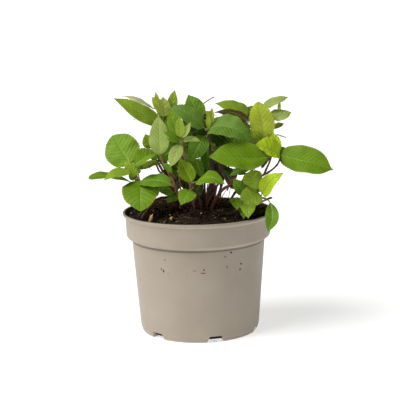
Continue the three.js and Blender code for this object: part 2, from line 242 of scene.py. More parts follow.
# Each shoot in front or inside: its nodes, where their stems end, and their leaves, set one by one.
SHOOTS = {
    "top_left": [("topLeft", (-2, 3, 13), [
        Leaf(-169, 31.5, 65, 21, 60, 0, (0, 0, -8), "bright", "heart", fold=14),
        Leaf(174, 25, 45, 15, 10, 0.05, (-5, 4, 9), "straw", "spindle", fold=4),
        Leaf(-164, 62, 21, 8, 80, 0, (1, -3, 7), "lime"),
        Leaf(180, 80, 31.5, 8, 80, 0, (1, -2, 0), "lime"),
        Leaf(126, 84, 27, 18, 80, 0, (6, -4, -2), "olive"),
        Leaf(0, 82, 28, 12, 80, 0, (15.5, 2, 5), "bright", "lance", bend=0.05),
        Leaf(166, 75, 21, 13, 80, 0, (9, -2, -13)),
        Leaf(-24, -45, 24, 16, 60, 0, (0, 10, 5)),
        Leaf(60, 10, 40, 22, 0, 0.1, tone="deep"),
    ])],
    "low_left": [
        ("lowLeft", None, [
            Leaf(134, 44, 50, 43, 80, 0, (-3, -2, 6), "fresh", "round", fold=6),
            Leaf(-150, -9, 41, 18.5, 26, 0.08, (-1, 0, -0.5), "bright"),
            Leaf(4, 29, 36, 21, 45, 0.1, (-2, -3, 4.5), "fresh", fold=24, roll=-0.2),
            Leaf(163, 51, 25, 18, 50, 0.05, (5, -4, -8), "bright", "round"),
            Leaf(19, 26, 22, 12, 30, 0.05, (14, 24, 12), "shade"),
            Leaf(12, 14, 26, 10, 40, 0.14, (8.5, -5, 1.3), "lime", roll=-0.2),
            Leaf(14, 34, 16, 9, 60, 0, (3, 4, 0)),
            Leaf(10, 27, 14, 7, 40, 0, (-4, -1, -7), "bright"),
        ]),
        ("underLeft", None, [
            Leaf(-89, -42, 49, 45, 60, 0.05, (-0.5, 1, 1), "fresh", "shield", fold=8),
            Leaf(-29, 0, 50, 25, 30, 0.1, (-4, 0, -3.5), "mid", "egg"),
            Leaf(128, 75, 13, 8, 60, 0, (-10, 0, -3)),
            Leaf(-170, 11.5, 58, 20, 16, 0.08, (-9, 23, -8.5), "fresh", "fan"),
        ]),
    ],
    "left": [("left", None, [
        Leaf(-100, 84, 52, 24, 90, 0, (-1, 0, 0), "pale", fold=12),
        Leaf(164, 67, 21, 15, 80, 0, (-11, 10, 8), "sap"),
        Leaf(167, 37, 24, 15, 50, 0.05, (12, 8, -6)),
        Leaf(-44, -37, 20, 9, 20, 0.05, (2, 0, -6)),
        Leaf(-172, 33, 26, 20, 40, 0.05, (25, 5, 19)),
        Leaf(21, 63, 24, 14, 70, 0, (3, 2, 4)),
        Leaf(160, 31, 16, 11, 50, 0, (8, 10, -9), "fresh"),
        Leaf(178, 20, 12, 9, 60, 0, (-3, 10, -3)),
        Leaf(40, 40, 38, 20, 20, 0.1, tone="deep"),
    ])],
    "front_left": [("frontLeft", (0, 2, 10), [
        Leaf(-160, 74, 37, 15, 85, 0, (-3, -3, 0), "fresh", fold=16),
        Leaf(-106, 79, 29, 11, 85, 0, (0, -5, -1), "bright", fold=20),
        Leaf(-20, 61, 24, 8, 60, 0, (1, -5, -1), "pale", "lance", fold=20),
        Leaf(-19, 2, 25, 11, 30, 0.05, (0, -1, -3), "pale", "lance", fold=24),
        Leaf(-163, 31, 24, 14, 45, 0.08, (0, -1, -4)),
        Leaf(-133, -54, 34, 15, 60, 0.05, (0, -1, -5), "pale"),
    ])],
    "centre": [("centre", (0, 4, 16), [
        Leaf(170, 31, 56, 24, 45, 0.14, (-2, 0, 1), "blue", fold=8),
        Leaf(146, 61, 38, 23.5, 60, 0.02, (-8, 10, 9), "mid", fold=14),
        Leaf(0, 84, 14, 8, 80, 0, (-7, 15, 14)),
        Leaf(-97, 85, 23, 6, 90, 0, (1, -2, 0), "lime", "lance", fold=20),
        Leaf(0, 84, 26, 7, 80, 0, (3, 0, 2), "lime", "lance", fold=20),
        Leaf(-21, -15, 57, 40, 36, 0.2, (0, -2, 3.5), "blue", "heart", fold=17),
        Leaf(-134, -47, 42, 24, 50, 0.08, (-2, 10, -6), "deep"),
        Leaf(0, 16, 19, 9, 60, 0.05, (2, 12, 5.5), "blue"),
        Leaf(75, 8, 44, 24, 10, 0.1, tone="deep"),
    ])],
    "inner": [("inner", (-4, 8, 16), [
        Leaf(-142, -17, 36, 30, 60, 0.05, (-8, 17, 29), "shade"),
        Leaf(172, 54, 27, 20, 60, 0.05, (-6, 4, 28), "shade"),
        Leaf(-149, -20, 42, 24, 50, 0.08, (-8, 12, 5), "deep"),
        Leaf(-67, -75, 42, 17, 60, 0, (-9, 7, 13), "deep"),
        Leaf(-19, -33, 36, 22, 40, 0.05, (-4, 2, 25), "shade"),
        Leaf(-22, 41, 15, 11, 60, 0, (26, 12, 3), "blue"),
        Leaf(-40, -65, 26, 13, 60, 0, (-22, -13, -7), "deep"),
        Leaf(171, 57, 45, 20, 60, 0.05, (-26, -8, 6), "deep"),
        Leaf(-174, 65, 47, 24, 60, 0.05, (-36, -22, 4)),
        Leaf(169, 61, 23, 11, 60, 0.05, (13, -2, -15), "shade"),
        Leaf(-168, 33, 23, 10, 60, 0.05, (38, -4, -23), "shade"),
        Leaf(-144, 30, 20, 12, 60, 0.05, (-29, -8, 7)),
        Leaf(164, 26, 15, 8, 60, 0.05, (12, -8, -1), "brown"),
        Leaf(-8, -23, 33, 20, 50, 0.05, (12, 2, 23), "deep"),
        Leaf(177, 15, 40, 15, 60, 0.05, (61, -16, 6), "blue"),
        Leaf(165, 63, 34, 24, 60, 0, (-21, 22, 8), "shade"),
        Leaf(-141, 65, 8, 6, 70, 0, (2, 4, 3), "lime"),
        Leaf(164, 78, 34, 17, 60, 0.05, (9, 8, -44), "shade"),
        Leaf(146, 70, 21, 14, 60, 0.05, (14, 0, -32), "shade"),
        Leaf(158, 59, 20, 12, 60, 0.05, (29, 2, -51), "brown"),
        Leaf(168, 64, 23, 14, 60, 0.05, (4, 6, 0), "shade"),
        Leaf(168, 21, 21, 14, 60, 0.05, (24, 2, -2), "shade"),
        Leaf(171, 40, 18, 12, 60, 0.05, (5, 4, 20), "shade"),
        Leaf(170, 53, 20, 10, 60, 0.05, (30, -2, -37), "shade"),
        Leaf(90, 86, 19, 10, 60, 0.05, (-11.5, 4, -34), "shade"),
    ])],
    "low_inner": [("lowInner", (1, -4, 18), [
        Leaf(-98, -70, 40, 18, 60, 0, (1, -17, 25), "shade"),
        Leaf(-126, -45, 28, 15, 50, 0.05, (18, -42, 0), "shade"),
        Leaf(180, 5, 27, 19, 55, 0.05, (-10, -42, -8), "deep"),
        Leaf(-146, -21, 20, 12, 40, 0.05, (-9, -42, -14)),
        Leaf(-50, 24, 9, 5, 50, 0, (-12, -26, -36), "fresh"),
        Leaf(-130, 12, 8, 5, 50, 0, (-12, -26, -36)),
        Leaf(-161, -43, 27, 17, 50, 0.05, (-3, -22, 6), "shade"),
        Leaf(165, 51, 25, 14, 60, 0.05, (-11, -26, 1), "deep"),
        Leaf(180, 56, 23, 13, 60, 0.05, (-7, -22, 11), "shade"),
        Leaf(110, 86, 28, 13, 60, 0.05, (14, -14, -9), "shade"),
        Leaf(110, 20, 38, 20, 0, 0.1, (0, 0, 12)),
    ])],
    "front": [("front", None, [
        Leaf(147, 57, 36, 19, 70, 0, (2, -1, -1), "sap", fold=24),
        Leaf(-30, 2, 42, 26, 30, 0.18, (3, 0, 2), "fresh", fold=6),
        Leaf(-115, -24, 33, 21, 50, 0.08, (0, 1, -7), "fresh"),
    ])],
    "high_right": [("highRight", (3, 2, 10), [
        Leaf(-173, 19.5, 47, 22, 40, 0.04, (-3.5, 0, 4.2), "bright", "heart"),
        Leaf(-170, 18, 47, 16, -45, 0.1, (-5, -9, -4), "brown", "heart", fold=4),
        Leaf(11, 22, 38.5, 14, 34, 0.04, (8, -5, 11), "pale"),
        Leaf(95, 5, 40, 22, 0, 0.1, tone="deep"),
    ])],
    "top_right": [("topRight", (4, 4, 12), [
        Leaf(180, 80, 50, 30, 80, 0, (1, -6, -9), "lime", "round", fold=12, droop=0.12),
        Leaf(-160, 34, 20, 13, 60, 0.05, (-1, -8, -9), "bright"),
        Leaf(178, 4, 20, 16, 60, 0.05, (-8, 6, -3)),
        Leaf(7, 8, 31, 20, 38, 0, (4, 4, 22.5), "pale", "oval", bend=-0.1),
        Leaf(16, 21, 17, 10, 30, 0.05, (10, 6, 6), "olive"),
        Leaf(118, 74, 26, 11, 70, 0, (9, 10, 2), "olive", "lance"),
        Leaf(0, 87, 14, 4, 80, 0, (19, 8, 26), "lime", "lance"),
        Leaf(105, 5, 46, 26, 0, 0.1),
    ])],
    "right": [("right", None, [
        Leaf(-13, -13.5, 71, 34.5, 60, 0.03, (-3, 1, 2), "fresh", "egg", fold=24),
        Leaf(-161, 26, 38, 31, 40, 0.05, (2, -2, 1), "painted_light", "shield", fold=25),
        Leaf(129, 79, 29, 16, 90, 0, (-5, 2, 1), "painted_light"),
        Leaf(180, 25, 13, 9, 60, 0, (-11, 8, 1.5)),
        Leaf(0, 50, 10, 9, 70, 0, (-1, 5, 3), "mid", "round"),
        Leaf(112, -2, 44, 18, 0, 0.1),
    ])],
    "inner_right": [("innerRight", None, [
        Leaf(-167, 5, 78, 43, 44, 0.03, (3.5, 2, -4), "fresh", "spindle", fold=24, bend=0.08),
        Leaf(176, -20, 33, 12, 40, 0.05, (-17, 12, -16), "deep"),
        Leaf(-160, -70, 15, 6, 60, 0, (-3.5, 2, -4), "shade"),
        Leaf(-120, 30, 9, 4, 50, 0, (-20, 12, -22), "brown"),
    ])],
    "low_right": [("lowRight", None, [
        Leaf(164, 56, 27, 15, 60, 0.08, (-10, -4, -7)),
        Leaf(166, 72, 28, 24, 75, 0.05, (4, -10, -1), "bright", "fan", fold=20),
        Leaf(-32, 44, 43.5, 19, 60, 0.05, (7, -14, -4), "painted_light", "heart", bend=0.07, roll=0),
        Leaf(-158, -32, 33, 27, 50, 0.08, (8, -8, 1), "bright", "heart", fold=14),
        Leaf(-89, -26, 33, 18, 50, 0.1, (-9, -9, -11), "bright"),
        Leaf(-100, -34, 26, 14, 50, 0.1, (-10, -4, -15), "fresh"),
        Leaf(-89, -26, 27, 15, 40, 0.1, (-22, -2, -6), "fresh"),
        Leaf(151, 52, 20, 8, 60, 0, (-27, 16, 9), "shade"),
        Leaf(8, 6, 15, 4, 30, 0, (-20, 20, 17), "brown", "lance"),
        Leaf(151, 58, 18, 13, 60, 0, (-2, 8, -4)),
        Leaf(154, 37, 14, 10, 60, 0, (10, 2, -2)),
    ])],
    "rim_right": [("rimRight", None, [
        Leaf(-101, -57, 40.5, 15.5, 45, 0.08, (3, -5, 0.5), "mid", "full", fold=24, bend=0.09),
        Leaf(40, 12, 9, 5, 0, 0.08, tone="deep"),
    ])],
}


# ---- Small mathematics ----

def vec(*numbers):
    return np.array(numbers, float)


def unit(v):
    return v / np.linalg.norm(v)


def direction(heading, pitch):
    h, p = math.radians(heading), math.radians(pitch)
    return vec(math.cos(p) * math.cos(h), math.cos(p) * math.sin(h), math.sin(p))


def rough(place, scale, seed=0.0):
    """Smooth noise from -1 to 1, with lumps about scale millimetres across."""
    return noise.noise(Vector(place) / scale + Vector((seed, 1.7 * seed, 0)))


# ---- Materials ----

def linear(colour, light=1.0):
    """A colour given as seen on a screen, 0 to 255, as a shader's linear colour."""
    shares = [c / 255 for c in colour]
    return [light * (s / 12.92 if s < 0.04 else ((s + 0.055) / 1.055) ** 2.4) for s in shares] + [1]


class Look:
    """A material whose Principled shader is fed by a small tree of nodes."""

    def __init__(self, name, roughness, specular=0.4):
        self.material = bpy.data.materials.new(name)
        self.material.use_nodes = True
        self.tree = self.material.node_tree
        self.shader = self.tree.nodes["Principled BSDF"]
        self.shader.inputs["Roughness"].default_value = roughness
        self.shader.inputs["Specular IOR Level"].default_value = specular
        self.place = self.node("ShaderNodeTexCoord").outputs["Object"]

    def node(self, kind):
        return self.tree.nodes.new(kind)

    def feed(self, source, socket):
        if isinstance(source, bpy.types.NodeSocket):
            self.tree.links.new(source, socket)
        else:
            socket.default_value = source

    def noise(self, scale, detail=4, stretch=(1, 1, 1)):
        """Noise whose lumps are about 1/scale metres across, longer where stretch is small."""
        mapping = self.node("ShaderNodeMapping")
        mapping.inputs["Scale"].default_value = stretch
        self.feed(self.place, mapping.inputs["Vector"])
        made = self.node("ShaderNodeTexNoise")
        made.inputs["Scale"].default_value = scale
        made.inputs["Detail"].default_value = detail
        self.feed(mapping.outputs["Vector"], made.inputs["Vector"])
        return made.outputs["Fac"]

    def mark(self, name):
        """What the mesh says at each point under this name."""
        made = self.node("ShaderNodeAttribute")
        made.attribute_name = name
        return made.outputs["Fac"]

    def sum(self, operation, first, second=0.0):
        """One sum of two values: SUBTRACT, MULTIPLY, FRACT and so on."""
        made = self.node("ShaderNodeMath")
        made.operation = operation
        self.feed(first, made.inputs[0])
        self.feed(second, made.inputs[1])
        return made.outputs[0]

    def veins(self):
        """How far each point lies from its side vein (0 to 0.5 of the gap), and the veins' lines."""
        half = self.sum("SUBTRACT", self.sum("FRACT", self.mark("vein")), 0.5)
        gap = self.sum("SUBTRACT", 0.5, self.sum("ABSOLUTE", half))
        faint = self.remap(self.mark("rim"), 0, 1, 1, 0.3)
        return gap, self.sum("MULTIPLY", self.remap(gap, 0.02, 0.1, 1, 0), faint)

    def remap(self, value, start, end, low, high):
        made = self.node("ShaderNodeMapRange")
        numbers = {"From Min": start, "From Max": end, "To Min": low, "To Max": high}
        for socket, number in numbers.items():
            made.inputs[socket].default_value = number
        self.feed(value, made.inputs["Value"])
        return made.outputs["Result"]

    def blend(self, share, first, second):
        made = self.node("ShaderNodeMix")
        made.data_type = "RGBA"
        self.feed(share, made.inputs[0])
        self.feed(first, made.inputs[6])
        self.feed(second, made.inputs[7])
        return made.outputs[2]

    def colour(self, source):
        self.feed(source, self.shader.inputs["Base Color"])

    def roughness(self, source):
        self.feed(source, self.shader.inputs["Roughness"])

    def bump(self, height, depth):
        made = self.node("ShaderNodeBump")
        made.inputs["Distance"].default_value = depth
        self.feed(height, made.inputs["Height"])
        self.feed(made.outputs["Normal"], self.shader.inputs["Normal"])


# The face of each tone of leaf, and the tint of its edge.
TONES = {
    "straw": ((228, 226, 168), (230, 210, 160)),
    "lime": ((168, 184, 50), (178, 168, 76)),
    # Painted light: this brighter green is for leaves that lie in shade, standing in for the light that
    # passes through them.
    "painted_light": ((180, 208, 36), (192, 202, 88)),
    "sap": ((114, 142, 12), (134, 148, 40)),
    "bright": ((144, 174, 46), (168, 176, 84)),
    "pale": ((162, 182, 92), (180, 180, 108)),
    "fresh": ((112, 148, 24), (150, 162, 60)),
    "mid": ((102, 142, 28), (134, 156, 56)),
    "deep": ((90, 130, 24), (114, 146, 46)),
    "blue": ((106, 142, 50), (128, 152, 68)),
    # Painted shade: this darkened green is for leaves deep in the clump, where shade falls.
    "shade": ((52, 76, 24), (70, 92, 34)),
    "olive": ((158, 172, 70), (172, 150, 88)),
    "brown": ((92, 100, 40), (118, 98, 58)),
}
UNDERSIDES = {
    "lime": (172, 182, 90),
    "straw": (178, 184, 124),
    "pale": (178, 184, 124),
    "olive": (146, 146, 86),
    "brown": (108, 88, 46),
}
UNDERSIDE = (126, 148, 76)
VEIN_LIGHT = (164, 182, 84)


def leaf_look(tone):
    face, edge = TONES[tone]
    look = Look("leaf_" + tone, 0.5, 0.18)
    gap, line = look.veins()
    cloudy = look.remap(look.noise(80, 6), 0.32, 0.68, 0, 0.6)
    # Painted shade and light: besides random mottling, the colour darkens towards each side vein and
    # lightens on the puffs between the veins.
    mottle_and_relief_shade = look.sum("ADD", cloudy, look.remap(gap, 0, 0.4, 0, 0.4))
    body = look.blend(mottle_and_relief_shade, linear(face, 0.8), linear(face, 1.2))
    veined = look.blend(look.sum("MULTIPLY", line, 0.15), body, linear(VEIN_LIGHT))
    rimmed = look.blend(look.remap(look.mark("rim"), 0.86, 1, 0, 0.75), veined, linear(edge))
    look.colour(rimmed)
    look.roughness(look.remap(look.noise(260, 3), 0.3, 0.7, 0.42, 0.58))
    netted = look.sum("MULTIPLY", look.noise(900, 3), 0.25)
    look.bump(look.sum("ADD", look.remap(gap, 0, 0.35, 0, 1), netted), 0.0003)
    return look.material


def underside_look(tone):
    look = Look("leaf_under_" + tone, 0.62, 0.16)
    colour = UNDERSIDES.get(tone, UNDERSIDE)
    gap, line = look.veins()
    cloudy = look.remap(look.noise(120, 5), 0.35, 0.65, 0, 1)
    body = look.blend(cloudy, linear(colour, 0.85), linear(colour, 1.12))
    look.colour(look.blend(look.sum("MULTIPLY", line, 0.5), body, linear(VEIN_LIGHT, 0.9)))
    look.bump(look.sum("SUBTRACT", 1, gap), 0.0006)
    return look.material


def streaked_look(name, dark, light, scale, roughness, depth, stretch=(1, 1, 0.25)):
    """A colour that runs between two tones in streaks, with relief in its light streaks."""
    look = Look(name, roughness, 0.3)
    streaks = look.noise(scale, 6, stretch)
    share = look.remap(streaks, 0.35, 0.65, 0, 1)
    look.colour(look.blend(share, linear(dark), linear(light)))
    look.bump(streaks, depth)
    return look.material


def pot_look(name, dark, light):
    look = Look(name, 0.5, 0.3)
    cloudy = look.remap(look.noise(22, 6), 0.3, 0.7, 0, 1)
    body = look.blend(cloudy, linear(dark), linear(light))
    dusty = look.remap(look.noise(240, 8, (1, 1, 0.5)), 0.66, 0.78, 0, 0.35)
    look.colour(look.blend(dusty, body, linear((120, 106, 90))))
    look.roughness(look.remap(look.noise(400, 4), 0.3, 0.7, 0.44, 0.6))
    look.bump(look.noise(1400, 3), 0.00006)
    return look.material


def soil_look(name, dark, light):
    look = Look(name, 0.92, 0.2)
    grain = look.noise(520, 8)
    look.colour(look.blend(look.remap(grain, 0.42, 0.72, 0, 1), linear(dark), linear(light)))
    look.bump(grain, 0.0009)
    return look.material


def floor_look():
    look = Look("studio_floor", 0.7, 0.1)
    grain = look.noise(3, 2)
    look.colour(look.blend(grain, linear((224, 224, 223)), linear((228, 228, 227))))
    return look.material


LEAF_LOOKS = {tone: leaf_look(tone) for tone in TONES}
UNDER_LOOKS = {tone: underside_look(tone) for tone in TONES}
RIB = streaked_look("leaf_rib", (140, 164, 66), (162, 182, 84), 300, 0.5, 0.0001)
DIM_RIB = streaked_look("leaf_rib_dim", (110, 142, 62), (126, 154, 74), 300, 0.5, 0.0001)
DIM_TONES = ("blue", "shade", "brown", "olive")
STALK_GREEN = streaked_look("stalk_green", (112, 128, 50), (140, 140, 66), 400, 0.55, 0.0002)
BARK_RED = streaked_look("bark_red", (84, 44, 36), (126, 82, 62), 420, 0.66, 0.0004)
BARK_PINK = streaked_look("bark_pink", (124, 76, 58), (178, 132, 104), 420, 0.66, 0.0004)
BARK_BROWN = streaked_look("bark_brown", (54, 38, 30), (104, 76, 58), 420, 0.78, 0.0006)
DRY = streaked_look("dry_stem", (110, 86, 66), (160, 136, 108), 420, 0.85, 0.0004)
CHIP = streaked_look("bark_chip", (120, 82, 56), (190, 146, 108), 380, 0.85, 0.0006, (1, 0.3, 1))
# Painted light: a fresh orange bark, made lighter still so that the large chips stay bright in the shade
# they lie in.
FRESH_LIT_CHIP = streaked_look("fresh_chip_painted_light", (208, 146, 88), (255, 206, 142), 380, 0.85, 0.0006, (1, 0.3, 1))
PERLITE = streaked_look("perlite", (206, 200, 188), (236, 232, 222), 900, 0.9, 0.0004)
SOIL = soil_look("compost", (18, 15, 11), (66, 53, 38))
CRUMB = soil_look("compost_crumb", (26, 21, 15), (94, 76, 54))
FIBRE = streaked_look("root_fibre", (92, 66, 48), (146, 112, 82), 420, 0.85, 0.0003)
STAIN = streaked_look("pot_stain", (112, 102, 82), (138, 127, 108), 500, 0.8, 0.0001)
GRIT = streaked_look("pot_grit", (52, 42, 32), (84, 70, 54), 500, 0.9, 0.0003)
PLASTIC = pot_look("pot_taupe_plastic", (163, 151, 136), (172, 161, 146))
# Painted shade, with some dust: a darker plastic for the crease under the band.
CREASE_SHADE_AND_DUST = pot_look("pot_crease_shade_and_dust", (120, 110, 96), (136, 126, 111))
SOILED = pot_look("pot_soiled_plastic", (60, 50, 41), (96, 84, 71))


# ---- Meshes ----

class Pile:
    """Small closed meshes gathered into one piece. Each face holds the number of its look."""

    MARKS = ("vein", "rim")

    def __init__(self):
        self.points = []
        self.faces = []
        self.numbers = []
        self.looks = []
        self.marks = {name: [] for name in self.MARKS}
        self.count = 0

    def add(self, points, faces, look, **marks):
        """look is one material for all the faces, or one for each."""
        looks = look if isinstance(look, list) else [look] * len(faces)
        for face, wanted in zip(faces, looks):
            if wanted not in self.looks:
                self.looks.append(wanted)
            self.faces.append(tuple(self.count + k for k in face))
            self.numbers.append(self.looks.index(wanted))
        self.points.append(points)
        for name in self.MARKS:
            self.marks[name].append(marks.get(name, np.zeros(len(points))))
        self.count += len(points)

    def piece(self, name, slot, replaces=(), crease=50):
        """The pile as one object that rides on the plant's body."""
        mesh = bpy.data.meshes.new(name)
        mesh.from_pydata((np.concatenate(self.points) * MM).tolist(), [], self.faces)
        for look in self.looks:
            mesh.materials.append(look)
        mesh.polygons.foreach_set("material_index", self.numbers)
        for mark, values in self.marks.items():
            if np.concatenate(values).any():
                layer = mesh.attributes.new(mark, "FLOAT", "POINT")
                layer.data.foreach_set("value", np.concatenate(values).astype(np.float32))
        return finished(mesh, name, replaces, crease)


def placed(name, data):
    """A mesh, lamp or camera as an object of the scene."""
    made = bpy.data.objects.new(name, data)
    bpy.context.scene.collection.objects.link(made)
    return made


def finished(mesh, name, replaces, crease):
    """A mesh as a piece of the plant, smooth but for edges sharper than the crease in degrees."""
    mesh.shade_smooth()
    mesh.set_sharp_from_angle(angle=math.radians(crease))
    made = placed(name, mesh)
    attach(made, BODY)
    if replaces:
        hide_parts(*replaces)
    return made


def grid_faces(rows, columns, wrap=False):
    """Quads over a grid of points numbered row by row, closed round each row if it wraps."""
    faces = []
    for row in range(rows - 1):
        for column in range(columns if wrap else columns - 1):
            a = row * columns + column
            b = row * columns + (column + 1) % columns
            faces.append((a, a + columns, b + columns, b))
    return faces


def bowed(start, end, bow, step):
    """Points from start to end, bowed at the middle."""
    start, end, bow = vec(*start), vec(*end), vec(*bow)
    count = max(4, round(np.linalg.norm(end - start) / step))
    shares = np.linspace(0, 1, count + 1)[:, None]
    return start + (end - start) * shares + bow * 4 * shares * (1 - shares)


def tube(pile, path, radii, look, sides=8, relief=0.0, seed=0.0):
    """A closed tube along a path, with ridges that run along it where relief is given."""
    path = np.asarray(path, float)
    tangents = np.gradient(path, axis=0)
    side = unit(np.cross(tangents[0], (0.31, 0.95, 0.12)))
    rings = []
    for number, (centre, tangent, radius) in enumerate(zip(path, tangents, radii)):
        tangent = unit(tangent)
        side = unit(side - tangent * side.dot(tangent))
        across = np.cross(tangent, side)
        for turn in range(sides):
            angle = 2 * math.pi * turn / sides
            spoke = side * math.cos(angle) + across * math.sin(angle)
            ridge = rough((3 * math.cos(angle), 3 * math.sin(angle), number * 0.16), 1, seed)
            rings.append(centre + spoke * radius * (1 + relief * ridge))
    faces = [face[::-1] for face in grid_faces(len(path), sides, wrap=True)]
    last = (len(path) - 1) * sides
    faces.append(tuple(range(sides))[::-1])
    faces.append(tuple(last + k for k in range(sides)))
    pile.add(np.array(rings), faces, look)


# ---- Leaves ----

def leaf_axes(leaf):
    """The leaf's own directions: along it, across it and out of its face."""
    along = direction(leaf.heading, leaf.pitch)
    lean = math.radians(leaf.lean)
    face = vec(0, -math.sin(lean), math.cos(lean))
    normal = unit(face - along * face.dot(along))
    return along, np.cross(normal, along), normal


def stalk_length(leaf):
    return min(STALK, STALK_SHARE * leaf.length)


COLUMNS = np.array([0, 0.16, 0.36, 0.58, 0.8, 0.93, 1])  # from the midrib's edge to the leaf's edge


def blade(pile, base, leaf, rng):
    """A toothed blade: a quilted upper face, a ribbed underside and the midrib between halves."""
    along, across, normal = leaf_axes(leaf)
    bare = stalk_length(leaf)
    reach = leaf.length - bare
    teeth = max(6, round(reach / TOOTH_PITCH))
    share = np.linspace(0, 1, 3 * teeth + 1)
    rise, fall, drawn = FORMS[leaf.form]
    widest = rise / (rise + fall)
    shape = (share / widest) ** rise * ((1 - share) / (1 - widest)) ** fall
    shape *= 1 - drawn * np.exp(-(((1 - share) / POINT_LENGTH) ** 2))
    fine = min(1, leaf.length / FINE_LENGTH)
    rib = RIB_HALF * (1 - RIB_TAPER * share) * fine
    tooth = (np.arange(len(share)) % 3) / 2 * TOOTH_DEPTH * fine
    edge = np.maximum(leaf.width / 2 * shape, rib + RIB_LEAST)
    edge = edge + tooth * np.minimum(1, 2 * shape) * (share < 1)

    # Columns run from the right edge over the midrib to the left edge.
    out = np.concatenate([-COLUMNS[::-1], [0], COLUMNS])
    sign = np.concatenate([-np.ones(len(COLUMNS)), [0], np.ones(len(COLUMNS))])
    side = sign[None, :] * (rib[:, None] + (edge - rib)[:, None] * np.abs(out)[None, :])
    far = np.abs(out)[None, :]
    s = share[:, None]

    veins = max(4, round(leaf.length / VEIN_GAP))
    swing = rng.uniform(0, 6.3)
    slant = VEIN_SLANT * far ** 1.3 * (1 - 0.6 * s)
    phase = (s - slant) * veins + 0.2 * sign[None, :] + 0.14 * np.sin(7 * s + swing) + veins
    pillow = np.sin(2 * math.pi * phase) * far * (1 - far ** 3)

    ripple = np.sin(2 * math.pi * 1.6 * s + swing + 1.3 * sign[None, :])
    flutter = np.sin(2 * math.pi * 3.3 * s + 2 * swing + 2 * sign[None, :])
    size = min(1, leaf.length / SOFT_LENGTH)
    height = (
        leaf.arch * leaf.length * 4 * s * (1 - s)
        - leaf.droop * leaf.length * np.clip(s - 0.5, 0, 1) ** 2 * 4
        + math.tan(math.radians(leaf.fold)) * (np.sqrt(side ** 2 + 1) - 1)
        - leaf.roll * edge[:, None] * far ** 2
        + edge[:, None] * (RIPPLE * far ** 2 * ripple + FLUTTER * far * flutter)
        + QUILT * size * pillow
        - RIB_SINK * size * (sign == 0)[None, :]
    )
    turn = math.radians(leaf.twist) * (s - 0.3)
    sideways = side * np.cos(turn) - height * np.sin(turn)
    upwards = side * np.sin(turn) + height * np.cos(turn)
    wander = WANDER * np.sin(2 * math.pi * 1.3 * s + swing)
    sideways = sideways + leaf.length * s * (1 - s) * 4 * (leaf.bend + wander)
    onwards = bare + reach * s + 0 * side
    top = (
        base
        + onwards[..., None] * along
        + sideways[..., None] * across
        + upwards[..., None] * normal
    )
    out_of_face = np.cross(np.gradient(top, axis=0), np.gradient(top, axis=1))
    out_of_face /= np.linalg.norm(out_of_face, axis=2, keepdims=True)
    thick = BLADE_THICKNESS * (1 - EDGE_THINNING * far) + RIB_DEPTH * size * (1 - 0.7 * s) * (sign == 0)
    under = top - out_of_face * thick[..., None]

    rows, columns = side.shape
    upper = grid_faces(rows, columns)
    lower = [tuple(rows * columns + k for k in face[::-1]) for face in upper]
    middle = columns // 2
    ribs = [face[0] % columns in (middle - 1, middle) for face in upper]
    face_look, under_look = LEAF_LOOKS[leaf.tone], UNDER_LOOKS[leaf.tone]
    rib_look = DIM_RIB if leaf.tone in DIM_TONES else RIB
    looks = [rib_look if on_rib else face_look for on_rib in ribs]
    looks += [rib_look if on_rib else under_look for on_rib in ribs]
    closing = rim_faces(rows, columns)
    looks += [face_look] * len(closing)
    points = np.concatenate([top.reshape(-1, 3), under.reshape(-1, 3)])
    rims = np.broadcast_to(far, side.shape).ravel()
    pile.add(
        points,
        upper + lower + closing,
        looks,
        vein=np.tile(phase.ravel(), 2),
        rim=np.tile(rims, 2),
    )


def rim_faces(rows, columns):
    """The thin faces that join a blade's upper and lower grids all round."""
    ring = [(row, 0) for row in range(rows)]
    ring += [(rows - 1, column) for column in range(1, columns)]
    ring += [(row, columns - 1) for row in range(rows - 2, -1, -1)]
    ring += [(0, column) for column in range(columns - 2, 0, -1)]
    numbers = [row * columns + column for row, column in ring]
    below = rows * columns
    return [
        (a, a + below, b + below, b)
        for a, b in zip(numbers, numbers[1:] + numbers[:1])
    ]


def stalk(pile, origin, base, leaf, look):
    """The leaf's stalk: it leaves the stem at origin and runs into the blade's base."""
    along = leaf_axes(leaf)[0]
    radius = STALK_RADIUS * min(1, 0.35 + leaf.length / 60)
    end = base + along * stalk_length(leaf) * 1.4
    pull = np.linalg.norm(end - origin) * 0.4
    rising = origin + along * 0.4 * pull + vec(0, 0, 0.15 * pull)
    shares = np.linspace(0, 1, max(5, round(pull)))[:, None]
    path = (
        (1 - shares) ** 3 * origin
        + 3 * (1 - shares) ** 2 * shares * rising
        + 3 * (1 - shares) * shares ** 2 * (end - along * pull)
        + shares ** 3 * end
    )
    radii = radius * np.linspace(1.25, 0.8, len(path))
    tube(pile, path, radii, look)


# ---- Growth of the shoots at the back ----
INTERNODE = 0.17  # of the longest leaf
INTERNODE_SHRINK = 0.4
LEAF_SHRINK = 0.34
LIGHT_PITCH = 80
LIGHT_PULL = 0.3
GROWTH_TURN = 14
LOW_LEAF_PITCH = -12
LEAF_PITCH_RISE = 38
SIDE_SHOOTS = 0.45
SIDE_SHOOT_SIZE = 0.5
SIDE_SHOOT_PITCH = 35


